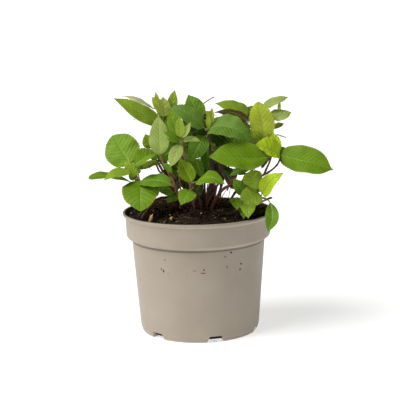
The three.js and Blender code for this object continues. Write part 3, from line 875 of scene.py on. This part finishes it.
def grow(leaves, stalks, start, heading, pitch, size, joints, turn, tones, rng, side=True):
    """A shoot: its stem bends to the light and carries a pair of leaves at each joint.

    Each pair is turned by about 90 degrees from the one below it, and weaker side shoots
    grow from some of the axils.
    """
    place = vec(*start)
    for joint in range(joints):
        share = joint / max(1, joints - 1)
        pitch += LIGHT_PULL * (LIGHT_PITCH - pitch)
        heading += rng.uniform(-GROWTH_TURN, GROWTH_TURN)
        after = place + direction(heading, pitch) * size * INTERNODE * (1 - INTERNODE_SHRINK * share)
        path = bowed(place, after, (rng.uniform(-1, 1), rng.uniform(-1, 1), 0), 2)
        tube(stalks, path, np.linspace(1.1, 0.9, len(path)), STALK_GREEN)
        place = after
        for half in (0, 180):
            length = size * (1 - LEAF_SHRINK * share) * rng.uniform(0.86, 1.08)
            leaf = Leaf(
                turn + 90 * joint + half + rng.uniform(-GROWTH_TURN, GROWTH_TURN),
                LOW_LEAF_PITCH + LEAF_PITCH_RISE * share + rng.uniform(-8, 8),
                length,
                length * rng.uniform(0.46, 0.58),
                rng.uniform(-12, 12),
                rng.uniform(0.06, 0.16),
                tone=rng.choice(tones),
                fold=rng.uniform(4, 16),
                roll=rng.uniform(0, 0.25),
                droop=rng.uniform(0, 0.12),
                bend=rng.uniform(-0.05, 0.05),
                twist=rng.uniform(-GROWTH_TURN, GROWTH_TURN),
            )
            base = place + direction(leaf.heading, leaf.pitch)
            stalk(stalks, place, base, leaf, STALK_GREEN)
            blade(leaves, base, leaf, rng)
        if side and rng.random() < SIDE_SHOOTS:
            axil = turn + 90 * joint + rng.choice((0, 180)) + 30
            side_size = size * SIDE_SHOOT_SIZE
            grow(
                leaves, stalks, place, axil, SIDE_SHOOT_PITCH, side_size, 2, axil, tones, rng, side=False
            )
    bud(leaves, place, heading, pitch, rng)


def bud(leaves, place, heading, pitch, rng):
    """The two folded leaflets at the end of a shoot."""
    for half in (0, 180):
        leaflet = Leaf(
            heading + 90 + half, min(84, pitch + rng.uniform(0, 10)), rng.uniform(6, 10), 3.4,
            tone="lime", form="lance", fold=30, arch=-0.08,
        )
        blade(leaves, place, leaflet, rng)


# Back shoots: node, heading and pitch of the stem, length of its lowest leaves,
# joints and heading of the lowest pair.
GROWN = {
    "back_left": ("backLeft", 110, 50, 48, 3, 95),
    "back": ("back", 85, -10, 45, 3, 70),
    "back_right": ("backRight", 60, 50, 54, 3, 50),
    "low_back_left": ("lowBackLeft", 170, 5, 36, 2, 135),
    "low_back": ("lowBack", 95, 15, 48, 2, 80),
    "low_back_right": ("lowBackRight", 60, -30, 31, 2, 80),
}
BACK_TONES = ("mid", "mid", "fresh", "deep", "blue", "bright")


def foliage_pieces(name, leaves, stalks):
    leaves.piece("leaves_" + name, "leaf", ["foliage_" + name])
    stalks.piece("stalks_" + name, "leaf", ["foliage_" + name])


def make_shoots():
    limb_points = np.concatenate([limb_path(number) for number in range(len(LIMBS))])
    for name, parts in SHOOTS.items():
        rng = random.Random(name)
        leaves, stalks = Pile(), Pile()
        for node, tip, table in parts:
            start = vec(*NODE[node])
            stems = limb_points
            if tip:
                end = start + vec(*tip)
                path = bowed(start, end, (0.6, 0.4, 0), 2)
                tube(stalks, path, np.linspace(CANE_TIP, 0.7, len(path)), STALK_GREEN)
                bud(leaves, end, rng.uniform(0, 180), 70, rng)
                stems = np.concatenate([limb_points, path])
            for leaf in table:
                base = start + vec(*leaf.start)
                origin = stems[np.argmin(np.linalg.norm(stems - base, axis=1))]
                stalk(stalks, origin, base, leaf, STALK_GREEN)
                blade(leaves, base, leaf, rng)
        foliage_pieces(name, leaves, stalks)
    for name, (node, heading, pitch, size, joints, turn) in GROWN.items():
        rng = random.Random(name)
        leaves, stalks = Pile(), Pile()
        grow(leaves, stalks, NODE[node], heading, pitch, size, joints, turn, BACK_TONES, rng)
        foliage_pieces(name, leaves, stalks)


# ---- Canes ----
LIMB_STEP = 1.6
LIMB_WANDER = 1.3
LIMB_WANDER_SIZE = 17
BARK_SIDES = 12
BARK_RELIEF = 0.16
JOINT_GAP = 13
JOINT_GAP_SPREAD = 5
JOINT_SWELL = 0.26
PALE_LIMBS = ("cane_left", "cane_front_left")
BROWN_LIMBS = ("cane_centre", "cane_inner", "cane_low_inner", "cane_front", "cane_back", "cane_low_back")


def limb_path(number):
    """The wandering line of one limb."""
    start, end, bow, _, _ = list(LIMBS.values())[number]
    path = bowed(start, end, bow, LIMB_STEP)
    slack = LIMB_WANDER * np.sin(math.pi * np.linspace(0, 1, len(path)))
    for k, loose in enumerate(slack):
        height = k * LIMB_STEP
        path[k, 0] += loose * rough((height, 0, number), LIMB_WANDER_SIZE, 3.1)
        path[k, 1] += loose * rough((0, height, number), LIMB_WANDER_SIZE, 7.7)
    return path


def bark(pile, path, base, tip, look, seed):
    """A limb with swollen joints and bark that is ridged along it."""
    shares = np.linspace(0, 1, len(path))
    spacing = JOINT_GAP + JOINT_GAP_SPREAD * abs(rough((seed, 0.5, 0.5), 1, 2.3))
    along = np.arange(len(path)) * LIMB_STEP
    swell = np.exp(-((along % spacing - spacing / 2) ** 2) / LIMB_STEP)
    radii = (base + (tip - base) * shares) * (1 + JOINT_SWELL * swell)
    tube(pile, path, radii, look, BARK_SIDES, BARK_RELIEF, seed)


def make_canes():
    for number, (name, (_, _, _, base, tip)) in enumerate(LIMBS.items()):
        pile = Pile()
        look = BARK_BROWN if name in BROWN_LIMBS else BARK_RED
        if name in PALE_LIMBS:
            look = BARK_PINK
        bark(pile, limb_path(number), base, tip, look, 1.37 * number)
        pile.piece("bark_" + name, "bark", [name])


# ---- Old stems: the stubs and thin shoots that crowd the middle of the clump ----
CLUMP_MIDDLE = (8, -8)
CLUMP_SPREAD = (14, 9)
CLUMP_STEMS = 38
CLUMP_REACH = (16, 60)
CLUMP_PITCH = (58, 84)
CLUMP_FAN = 40
CLUMP_BOW = 3
CLUMP_RADIUS = (0.45, 1.05)
TWIG_TAPER = 0.72
TWIG_BOW = (0, 0, 0.4)

# Bare twigs and hairs, set one by one: the points they pass, their radius and their look.
TWIGS = [
    ([(4, 3, 281), (12, 5, 288), (23, 5, 294)], 0.8, BARK_PINK),
    ([(12, 0, 273), (18, 0, 273), (26, 0, 271)], 0.4, DRY),
    ([(-73, -46, 153), (-60, -30, 167), (-47, -20, 172), (-32, -14, 172)], 1.8, BARK_BROWN),
    ([(-69, -50, 153), (-60, -34, 163), (-50, -22, 169), (-36, -16, 172)], 1.6, FIBRE),
    ([(-66, -44, 153), (-54, -34, 162), (-42, -24, 167), (-30, -18, 152)], 1.2, BARK_BROWN),
    ([(24, -14, 222), (30, -16, 204), (37, -19, 191), (42, -23, 184)], 2.0, BARK_BROWN),
    ([(28, -12, 214), (33, -14, 200), (41, -20, 188)], 1.4, BARK_RED),
    ([(60, -34, 158), (72, -26, 162), (84, -25, 168), (92, -26, 171)], 1.6, BARK_PINK),
    ([(41, -25, 187), (40, -25, 180), (38, -26, 171)], 0.5, DRY),
    ([(27, 10, 230), (33, 9, 232), (39, 10, 231)], 0.5, DRY),
    ([(28, 12, 234), (34, 11, 228), (37, 10, 224)], 0.5, DRY),
    ([(99, -16, 248), (104, -12, 246), (111, -10, 243)], 0.7, BARK_BROWN),
    ([(100, -24, 189), (101, -22, 184), (101, -20, 178)], 0.25, DRY),
    ([(-63, 0, 209), (-59, -1, 206), (-54, 0, 202)], 0.25, DRY),
    ([(-75, -33, 209), (-72, -34, 203), (-70, -34, 194)], 0.9, BARK_PINK),
    ([(84, -8, 247), (80, 2, 257), (72, 5, 268)], 0.9, BARK_RED),
    ([(-22, -20, 150), (-22, -22, 166), (-33, -28, 202), (-44, -34, 222)], 1.2, BARK_PINK),
    ([(-18, -16, 150), (-20, -20, 168), (-23, -30, 213)], 1.0, BARK_PINK),
    ([(-22, -14, 150), (-27, -20, 181), (-38, -24, 212)], 1.0, BARK_RED),
    ([(-24, -14, 150), (-33, -24, 195), (-43, -28, 208), (-50, -30, 221)], 1.9, BARK_BROWN),
    ([(-26, -12, 150), (-36, -22, 194), (-47, -26, 207), (-52, -28, 219)], 1.5, BARK_RED),
    ([(-21, -12, 150), (-28, -20, 190), (-39, -24, 206), (-46, -26, 222)], 1.6, BARK_BROWN),
    ([(-20, -20, 150), (-24, -24, 180), (-32, -28, 201), (-44, -34, 221)], 1.0, BARK_PINK),
    ([(11, -8, 150), (13, -8, 162), (22, -5, 192), (31, -4, 214)], 1.3, BARK_BROWN),
    ([(13, -6, 150), (15, -6, 160), (21, 0, 212)], 1.2, BARK_BROWN),
    ([(5, -8, 150), (7, -9, 168), (6, -8, 190)], 1.3, BARK_BROWN),
    ([(9, -4, 150), (10, -5, 166), (9, -3, 190)], 1.1, BARK_BROWN),
    ([(3, -12, 150), (2, -12, 168), (3, -12, 190)], 1.2, BARK_BROWN),
    ([(10, -16, 150), (13, -16, 166), (19, -15, 176), (27, -8, 187)], 1.3, BARK_RED),
    ([(37, -23, 180), (41, -20, 194), (46, -16, 207)], 0.9, BARK_RED),
]


def make_old_stems():
    pile = Pile()
    rng = random.Random("old stems")
    for number in range(CLUMP_STEMS):
        x = CLUMP_MIDDLE[0] + rng.gauss(0, 0.5) * CLUMP_SPREAD[0]
        y = CLUMP_MIDDLE[1] + rng.gauss(0, 0.5) * CLUMP_SPREAD[1]
        outwards = math.degrees(math.atan2(y - CLUMP_MIDDLE[1], x - CLUMP_MIDDLE[0]))
        heading = outwards + rng.uniform(-CLUMP_FAN, CLUMP_FAN)
        length = rng.uniform(*CLUMP_REACH)
        foot = vec(x, y, soil_at(x, y) - 3)
        end = foot + direction(heading, rng.uniform(*CLUMP_PITCH)) * length
        bow = (rng.uniform(-CLUMP_BOW, CLUMP_BOW), rng.uniform(-CLUMP_BOW, CLUMP_BOW), 0)
        radius = rng.uniform(*CLUMP_RADIUS)
        look = rng.choice((BARK_BROWN, BARK_BROWN, BARK_RED, DRY))
        bark(pile, bowed(foot, end, bow, LIMB_STEP), radius * 1.2, radius * 0.8, look, number)
    for number, (points, radius, look) in enumerate(TWIGS):
        path = np.concatenate([
            bowed(start, end, TWIG_BOW, LIMB_STEP)[:-1]
            for start, end in zip(points, points[1:])
        ] + [[points[-1]]])
        bark(pile, path, radius, radius * TWIG_TAPER, look, CLUMP_STEMS + number)
    pile.piece("old_stems_and_twigs", "bark")


# ---- Pot ----

def fillet(corners):
    """An outline through corners (radius from the axis, height, rounding), each rounded by a parabola."""
    points = []
    for k, (x, y, rounding) in enumerate(corners):
        here = vec(x, y)
        if rounding == 0 or k in (0, len(corners) - 1):
            points.append(here)
            continue
        before, after = vec(*corners[k - 1][:2]), vec(*corners[k + 1][:2])
        back, on = unit(before - here), unit(after - here)
        half = math.acos(np.clip(back.dot(on), -1, 1)) / 2
        cut = min(
            rounding / math.tan(half),
            0.48 * np.linalg.norm(before - here),
            0.48 * np.linalg.norm(after - here),
        )
        for step in range(FILLET_STEPS + 1):
            t = step / FILLET_STEPS
            a, b = here + back * cut * (1 - t), here + on * cut * t
            points.append(a + (b - a) * t)
    return points


def lathe(outline, segments):
    """A closed surface of revolution from an outline that starts and ends on the axis."""
    ring = np.array(outline[1:-1])
    angles = np.linspace(0, 2 * math.pi, segments, endpoint=False)
    points = [
        (radius * math.sin(angle), -radius * math.cos(angle), height)
        for radius, height in ring
        for angle in angles
    ]
    faces = grid_faces(len(ring), segments, wrap=True)
    bottom, top = len(points), len(points) + 1
    points += [(0, 0, outline[0][1]), (0, 0, outline[-1][1])]
    last = (len(ring) - 1) * segments
    for k in range(segments):
        following = (k + 1) % segments
        faces.append((bottom, k, following))
        faces.append((top, last + following, last + k))
    return np.array(points, float), [face[::-1] for face in faces]


def pot_outline():
    step, inner_step = POT_STEP, POT_STEP - 3
    return fillet([
        (0, 0, 0),
        (POT_FOOT, 0, 2),
        (POT_FOOT + 1.1, 3.4, 0),
        (POT_FOOT + 1.0, 3.9, 0),
        (POT_FOOT + 1.5, 4.4, 0),
        (POT_FOOT + 2.2, 7.2, 0),
        (POT_FOOT + 2.1, 7.7, 0),
        (POT_BODY_FOOT - 0.4, POT_CORNER * 0.7, 0.6),
        (POT_BODY_TOP - 0.1, step - 7, 0),
        (POT_BODY_TOP, step - 4.4, 0.8),
        (POT_BAND_FOOT - 0.4, step - 0.8, 4.5),
        (POT_BAND_TOP, POT_HEIGHT - 5.6, 1.2),
        (POT_LIP - 0.3, POT_HEIGHT - 3, 1.2),
        (POT_LIP - 0.1, POT_HEIGHT, 1.3),
        (POT_OPENING - 0.8, POT_HEIGHT, 0.9),
        (POT_BAND_TOP - POT_WALL, POT_HEIGHT - 6, 2),
        (POT_BAND_FOOT - POT_WALL, step + 2, 3),
        (POT_BODY_TOP - POT_WALL, inner_step, 2),
        (POT_BODY_FOOT - POT_WALL, POT_CORNER, 4),
        (POT_FOOT - POT_WALL, POT_FLOOR, 2),
        (0, POT_FLOOR, 0),
    ])


def prism(outline, start, end):
    """A closed bar along -Y whose section is an outline of (x, z) points."""
    count = len(outline)
    points = [(x, -reach, z) for reach in (start, end) for x, z in outline]
    faces = [tuple(range(count)), tuple(count + k for k in range(count))[::-1]]
    for k in range(count):
        following = (k + 1) % count
        faces.append((k, count + k, count + following, following))
    return points, faces


def notch_section(bottom, top, height, foot):
    half_bottom, half_top = bottom / 2, top / 2
    rounded = fillet([
        (half_bottom, foot, 0),
        (half_bottom, 0, 1.5),
        (half_top, height, 2.2),
        (-half_top, height, 2.2),
        (-half_bottom, 0, 1.5),
        (-half_bottom, foot, 0),
    ])
    return [tuple(point) for point in rounded]


def tool(name, parts):
    """An object for a boolean cut or join: the parts turned to each notch."""
    points, faces = [], []
    for notch in range(NOTCHES):
        angle = math.radians(NOTCH_FIRST + notch * 360 / NOTCHES)
        c, s = math.cos(angle), math.sin(angle)
        for part_points, part_faces in parts:
            faces += [tuple(len(points) + k for k in face) for face in part_faces]
            points += [(c * x - s * y, s * x + c * y, z) for x, y, z in part_points]
    mesh = bpy.data.meshes.new(name)
    mesh.from_pydata([[n * MM for n in point] for point in points], [], faces)
    face_outwards(mesh)
    return placed(name, mesh)


def face_outwards(mesh):
    work = bmesh.new()
    work.from_mesh(mesh)
    bmesh.ops.recalc_face_normals(work, faces=work.faces)
    work.to_mesh(mesh)
    work.free()


def boolean(target, other, operation):
    modifier = target.modifiers.new(operation, "BOOLEAN")
    modifier.operation = operation
    modifier.object = other
    modifier.solver = "EXACT"
    graph = bpy.context.evaluated_depsgraph_get()
    mesh = bpy.data.meshes.new_from_object(target.evaluated_get(graph))
    target.modifiers.clear()
    target.data = mesh
    bpy.data.objects.remove(other)


def drain_section():
    turns = [2 * math.pi * k / DRAIN_SIDES for k in range(DRAIN_SIDES)]
    return [
        (DRAIN_RADIUS * math.cos(turn), -DRAIN_AT + DRAIN_RADIUS * math.sin(turn), z)
        for z in (NOTCH_HEIGHT - 2, NOTCH_HEIGHT + NOTCH_ROOF + 3)
        for turn in turns
    ]


def soil_and_dust(shell):
    """The pot is soiled inside, and its crease under the band is painted darker: painted shade, with some
    dust.
    """
    shell.materials.append(SOILED)
    shell.materials.append(CREASE_SHADE_AND_DUST)
    for face in shell.polygons:
        x, y, z = face.center
        faces_axis = x * face.normal.x + y * face.normal.y < 0
        face.material_index = int(faces_axis and POT_FLOOR * MM < z < STAIN_TOP * MM)
        # Painted shade, with some dust: the crease under the band takes the darker plastic.
        if not faces_axis and CREASE[0] * MM < z < CREASE[1] * MM:
            face.material_index = 2


def make_pot():
    points, faces = lathe(pot_outline(), POT_SEGMENTS)
    mesh = bpy.data.meshes.new("pot_shell")
    mesh.from_pydata((points * MM).tolist(), [], faces)
    face_outwards(mesh)
    mesh.materials.append(PLASTIC)
    pot = placed("pot_shell", mesh)
    roof = NOTCH_ROOF
    hood = notch_section(NOTCH_BOTTOM + 2 * roof, NOTCH_TOP + 2 * roof, NOTCH_HEIGHT + roof, 0.5)
    boolean(pot, tool("hood", [prism(hood, NOTCH_INNER - roof, POT_FOOT - 0.6)]), "UNION")
    channel = notch_section(NOTCH_BOTTOM, NOTCH_TOP, NOTCH_HEIGHT, -3)
    boolean(pot, tool("channel", [prism(channel, NOTCH_INNER, POT_LIP)]), "DIFFERENCE")
    ring = drain_section()
    side = len(ring) // 2
    walls = [(k, (k + 1) % side, side + (k + 1) % side, side + k) for k in range(side)]
    caps = [tuple(range(side))[::-1], tuple(side + k for k in range(side))]
    boolean(pot, tool("drain", [(ring, walls + caps)]), "DIFFERENCE")
    shell = pot.data
    bpy.data.objects.remove(pot)
    soil_and_dust(shell)
    finished(shell, "pot_shell", ["pot"], 32)


def on_pot(angle, height):
    """A point of the pot's outer wall, its angle taken from the front towards the right."""
    heights = (0, POT_CORNER, POT_STEP - 4.6, POT_STEP, POT_HEIGHT)
    radii = (POT_FOOT, POT_BODY_FOOT, POT_BODY_TOP, POT_BAND_FOOT, POT_BAND_TOP)
    radius = float(np.interp(height, heights, radii))
    turn = math.radians(angle)
    return vec(radius * math.sin(turn), -radius * math.cos(turn), height)


# Old marks on the wall: angle from the front, height, width, height of the mark, look.
WALL_MARKS = [
    (28, 113.5, 3.4, 3, GRIT),
    (22.5, 109, 2.4, 3, STAIN),
    (24.5, 96, 2.6, 5, STAIN),
    (38.8, 97, 3.6, 3, GRIT),
    (37.9, 90, 2.6, 4, GRIT),
    (4.3, 94, 2.8, 2.6, GRIT),
    (3.2, 90, 7.5, 1.2, GRIT),
    (-4, 93, 5, 1.6, STAIN),
    (-29.7, 105, 3.4, 2, STAIN),
    (-31.8, 91, 2.4, 5.5, GRIT),
    (-34, 93, 1.6, 4.6, GRIT),
]
MARK_UNEVEN = (0.75, 1.2)
MARK_DEPTH = 0.25
FOOT_GRIT = 70
FOOT_GRIT_ANGLE = (50, 22)
FOOT_GRIT_HEIGHT = (0.8, 3.4)


def make_marks():
    pile = Pile()
    rng = random.Random("marks")
    places = [(angle, height, width / 2, tall / 2, look) for angle, height, width, tall, look in WALL_MARKS]
    for _ in range(FOOT_GRIT):
        angle, height = rng.gauss(*FOOT_GRIT_ANGLE), rng.uniform(*FOOT_GRIT_HEIGHT)
        places.append((angle, height, rng.uniform(0.3, 1.2), rng.uniform(0.2, 0.5), GRIT))
    for angle, height, wide, tall, look in places:
        points = STONE_POINTS * np.array([[rng.uniform(*MARK_UNEVEN)] for _ in STONE_POINTS])
        turn = np.array(Euler((0, 0, math.radians(angle))).to_matrix())
        flat = points * (wide, MARK_DEPTH, tall)
        pile.add(flat @ turn.T + on_pot(angle, height), STONE_FACES, look)
    pile.piece("pot_marks", "pot_plastic", crease=30)


# ---- Soil ----

def soil_height(radius):
    """The smooth height of the mound at a distance from its middle."""
    stops = (0, SOIL_SHOULDER - 14, SOIL_SHOULDER, SOIL_SHOULDER + 10, SOIL_TURN, SOIL_RADIUS)
    levels = (
        SOIL_CROWN,
        SOIL_CROWN - 1.6,
        SOIL_CROWN - 3.6,
        SOIL_EDGE + 3,
        SOIL_EDGE,
        SOIL_EDGE - 4,
    )
    return float(np.interp(radius, stops, levels))


# The mound's lumps, from broad to fine: height, size and seed.
LUMPS = ((0.9, 16, 5.1), (0.8, 6.5, 8.3), (0.7, 2.8, 11.9))


def soil_at(x, y):
    """The height of the mound with its lumps."""
    lumps = sum(tall * rough((x, y, 0), size, seed) for tall, size, seed in LUMPS)
    return soil_height(math.hypot(x, y)) + lumps


def make_soil():
    pile = Pile()
    outline = [
        (0, POT_FLOOR + 0.4),
        (POT_FOOT - POT_WALL - 1.5, POT_FLOOR + 0.4),
        (POT_BODY_FOOT - POT_WALL - 0.4, POT_CORNER),
        (POT_BODY_TOP - POT_WALL - 0.4, POT_STEP - 2.6),
        (POT_BAND_FOOT - POT_WALL - 0.7, POT_STEP + 4),
        (SOIL_RADIUS, SOIL_EDGE - 8),
    ]
    for row in range(SOIL_ROWS):
        radius = SOIL_RADIUS * (1 - row / SOIL_ROWS)
        outline.append((radius, soil_height(radius)))
    outline.append((0, SOIL_CROWN))
    points, faces = lathe(outline, SOIL_SEGMENTS)
    for point in points:
        if point[2] > SOIL_EDGE - 5:
            point[2] = soil_at(point[0], point[1])
    pile.add(points, faces, SOIL)
    pile.piece("soil_mound", "potting_soil", ["soil"], 70)


# ---- Litter on the soil ----
CRUMBS = 1500
COARSE_CRUMBS = 260
CHIPS = 110
PERLITES = 16
FIBRES = 120
FIBRE_STEPS = 9
FIBRE_TURN = 26
EDGE_PERLITE = (-84, -4)
STONE_UNEVEN = (0.72, 1.2)
FLAT_TIP = 0.35

# Large chips that lie or stand on the soil: where, how high their middle is over it, and their size.
BIG_CHIPS = [
    ((-57, -65), 7, (2.3, 1.2, 7)),
    ((-32, -63), 2.5, (3, 1.4, 4.2)),
    ((-34, -46), 0.8, (2.4, 1.6, 1)),
    ((4, -46), 0.6, (2.6, 1.3, 0.7)),
    ((19, -54), 0.6, (2.6, 1.1, 0.6)),
    ((-75, -20), 0.6, (2.8, 1.6, 0.8)),
]

def pebble():
    """The corners and faces of a regular twenty-sided stone of radius 1."""
    golden = (1 + math.sqrt(5)) / 2
    corners = []
    for a in (-1, 1):
        for b in (-golden, golden):
            corners += [(0, a, b), (a, b, 0), (b, 0, a)]
    corners = np.array(corners, float)
    faces = []
    for trio in combinations(range(12), 3):
        a, b, c = corners[list(trio)]
        sides = [np.linalg.norm(p - q) for p, q in ((a, b), (b, c), (c, a))]
        if max(sides) < 2.1:
            outwards = np.cross(b - a, c - a).dot(a) > 0
            faces.append(trio if outwards else trio[::-1])
    return corners / np.linalg.norm(corners[0]), faces


STONE_POINTS, STONE_FACES = pebble()


def turned(points, rng, flat=False):
    """The points turned at random, or only about the vertical and a little off it."""
    tip = FLAT_TIP if flat else math.pi
    turn = Euler((rng.uniform(-tip, tip), rng.uniform(-tip, tip), rng.uniform(0, 2 * math.pi)))
    return points @ np.array(turn.to_matrix()).T


def stone(pile, place, shape, rng, look, flat=False):
    """An irregular crumb: shape is its size along its own three axes."""
    points = STONE_POINTS * np.array([[rng.uniform(*STONE_UNEVEN)] for _ in STONE_POINTS])
    pile.add(turned(points * shape, rng, flat) + place, STONE_FACES, look)


def on_soil(rng, reach=SOIL_RADIUS - 3):
    """A place on the soil, with its height."""
    radius = reach * math.sqrt(rng.random())
    angle = rng.uniform(0, 2 * math.pi)
    x, y = radius * math.cos(angle), radius * math.sin(angle)
    return vec(x, y, soil_at(x, y))


def scatter(pile, count, low, high, shape, look, seed, flat=False, reach=SOIL_RADIUS - 3):
    rng = random.Random(seed)
    for _ in range(count):
        size = low + (high - low) * rng.random() ** 2
        place = on_soil(rng, reach)
        place[2] += 0.3 * size * shape[2]
        stone(pile, place, size * vec(*shape), rng, look, flat)


def fibre(pile, place, length, radius, rng, look):
    """A thin root or stalk that lies on the soil and curls."""
    heading = rng.uniform(0, 360)
    path = [place]
    for _ in range(FIBRE_STEPS):
        heading += rng.uniform(-FIBRE_TURN, FIBRE_TURN)
        after = path[-1] + direction(heading, 0) * length / FIBRE_STEPS
        after[2] = max(soil_at(after[0], after[1]), place[2] - 3) + 0.8 + rng.uniform(0, 0.8)
        path.append(after)
    tube(pile, path, np.linspace(radius, radius * 0.5, len(path)), look, 5)


def make_litter():
    crumbs, chips, pale, fibres = Pile(), Pile(), Pile(), Pile()
    scatter(crumbs, CRUMBS, 0.6, 2.6, (1, 0.8, 0.6), CRUMB, "fine")
    scatter(crumbs, COARSE_CRUMBS, 2, 4.2, (1, 0.75, 0.55), CRUMB, "coarse")
    scatter(chips, CHIPS, 1.6, 5, (1, 0.4, 0.16), CHIP, "chips", flat=True)
    scatter(pale, PERLITES, 0.4, 1.1, (1, 0.9, 0.8), PERLITE, "perlite")
    rng = random.Random("fibres")
    for _ in range(FIBRES):
        place = on_soil(rng, SOIL_RADIUS - 14)
        fibre(fibres, place, rng.uniform(8, 26), rng.uniform(0.2, 0.45), rng, FIBRE)
    for (x, y), over, shape in BIG_CHIPS:
        place = vec(x, y, soil_at(x, y) + over)
        # Painted light: these chips take the lightened bark.
        stone(chips, place, vec(*shape), random.Random(str(shape)), FRESH_LIT_CHIP, flat=True)
    x, y = EDGE_PERLITE
    stone(pale, vec(x, y, soil_at(x, y) + 0.6), vec(2, 1.6, 1.4), rng, PERLITE)
    crumbs.piece("soil_crumbs", "potting_soil", crease=30)
    chips.piece("soil_bark_chips", "potting_soil", crease=30)
    pale.piece("soil_perlite", "potting_soil", crease=30)
    fibres.piece("soil_fibres", "potting_soil")


# ---- Studio, in metres ----
FLOOR_HALF = 40
FLOOR_DROP = 0.0002
KEY_SUN = (204, 50, 0.94, 46)
FLOOR_WASH = (0, 90, 0.9, 30)
WORLD_LIGHT = 0.06


def stage_floor():
    half = FLOOR_HALF
    mesh = bpy.data.meshes.new("studio_floor")
    corners = [(-half, -half), (half, -half), (half, half), (-half, half)]
    mesh.from_pydata([(x, y, -FLOOR_DROP) for x, y in corners], [], [(0, 1, 2, 3)])
    mesh.materials.append(floor_look())
    floor = placed("studio_floor", mesh)
    return floor


def sun(name, azimuth, elevation, strength, spread):
    """A far soft lamp: where it stands (azimuth from +X towards +Y), its strength and its spread."""
    light = bpy.data.lights.new(name, "SUN")
    light.energy = strength * math.pi
    light.angle = math.radians(spread)
    lamp = placed(name, light)
    towards = Vector(direction(azimuth, elevation))
    lamp.rotation_euler = towards.to_track_quat("Z", "Y").to_euler()
    return lamp


def make_studio():
    floor = stage_floor()
    sun("key", *KEY_SUN)
    wash = sun("floor_wash", *FLOOR_WASH)
    wash.data.use_shadow = False
    lit = bpy.data.collections.new("lit_by_the_wash")
    lit.objects.link(floor)
    wash.light_linking.receiver_collection = lit
    world = bpy.data.worlds.new("studio")
    bpy.context.scene.world = world
    world.use_nodes = True
    background = world.node_tree.nodes["Background"]
    background.inputs["Color"].default_value = (1, 1, 1, 1)
    background.inputs["Strength"].default_value = WORLD_LIGHT
    bpy.context.scene.view_settings.view_transform = "Standard"


# ---- Camera: fitted to the ellipses of the pot's rim and foot ----
CAMERA_DISTANCE = 1.6
CAMERA_ELEVATION = 10.45
CAMERA_ROLL = 1.05
CAMERA_TARGET = (0.0028, 0, 0.1649)
CAMERA_LENS = 114.4
CAMERA_SENSOR = 36


def make_camera():
    camera = bpy.data.cameras.new("camera")
    camera.lens = CAMERA_LENS
    camera.sensor_width = CAMERA_SENSOR
    held = placed("camera", camera)
    elevation = math.radians(CAMERA_ELEVATION)
    back = Vector((0, -math.cos(elevation), math.sin(elevation)))
    held.location = Vector(CAMERA_TARGET) + back * CAMERA_DISTANCE
    aim = (-back).to_track_quat("-Z", "Y")
    held.rotation_mode = "QUATERNION"
    held.rotation_quaternion = aim @ Quaternion((0, 0, 1), math.radians(-CAMERA_ROLL))
    bpy.context.scene.camera = held


make_camera()
make_studio()
make_pot()
make_marks()
make_soil()
make_litter()
make_canes()
make_old_stems()
make_shoots()
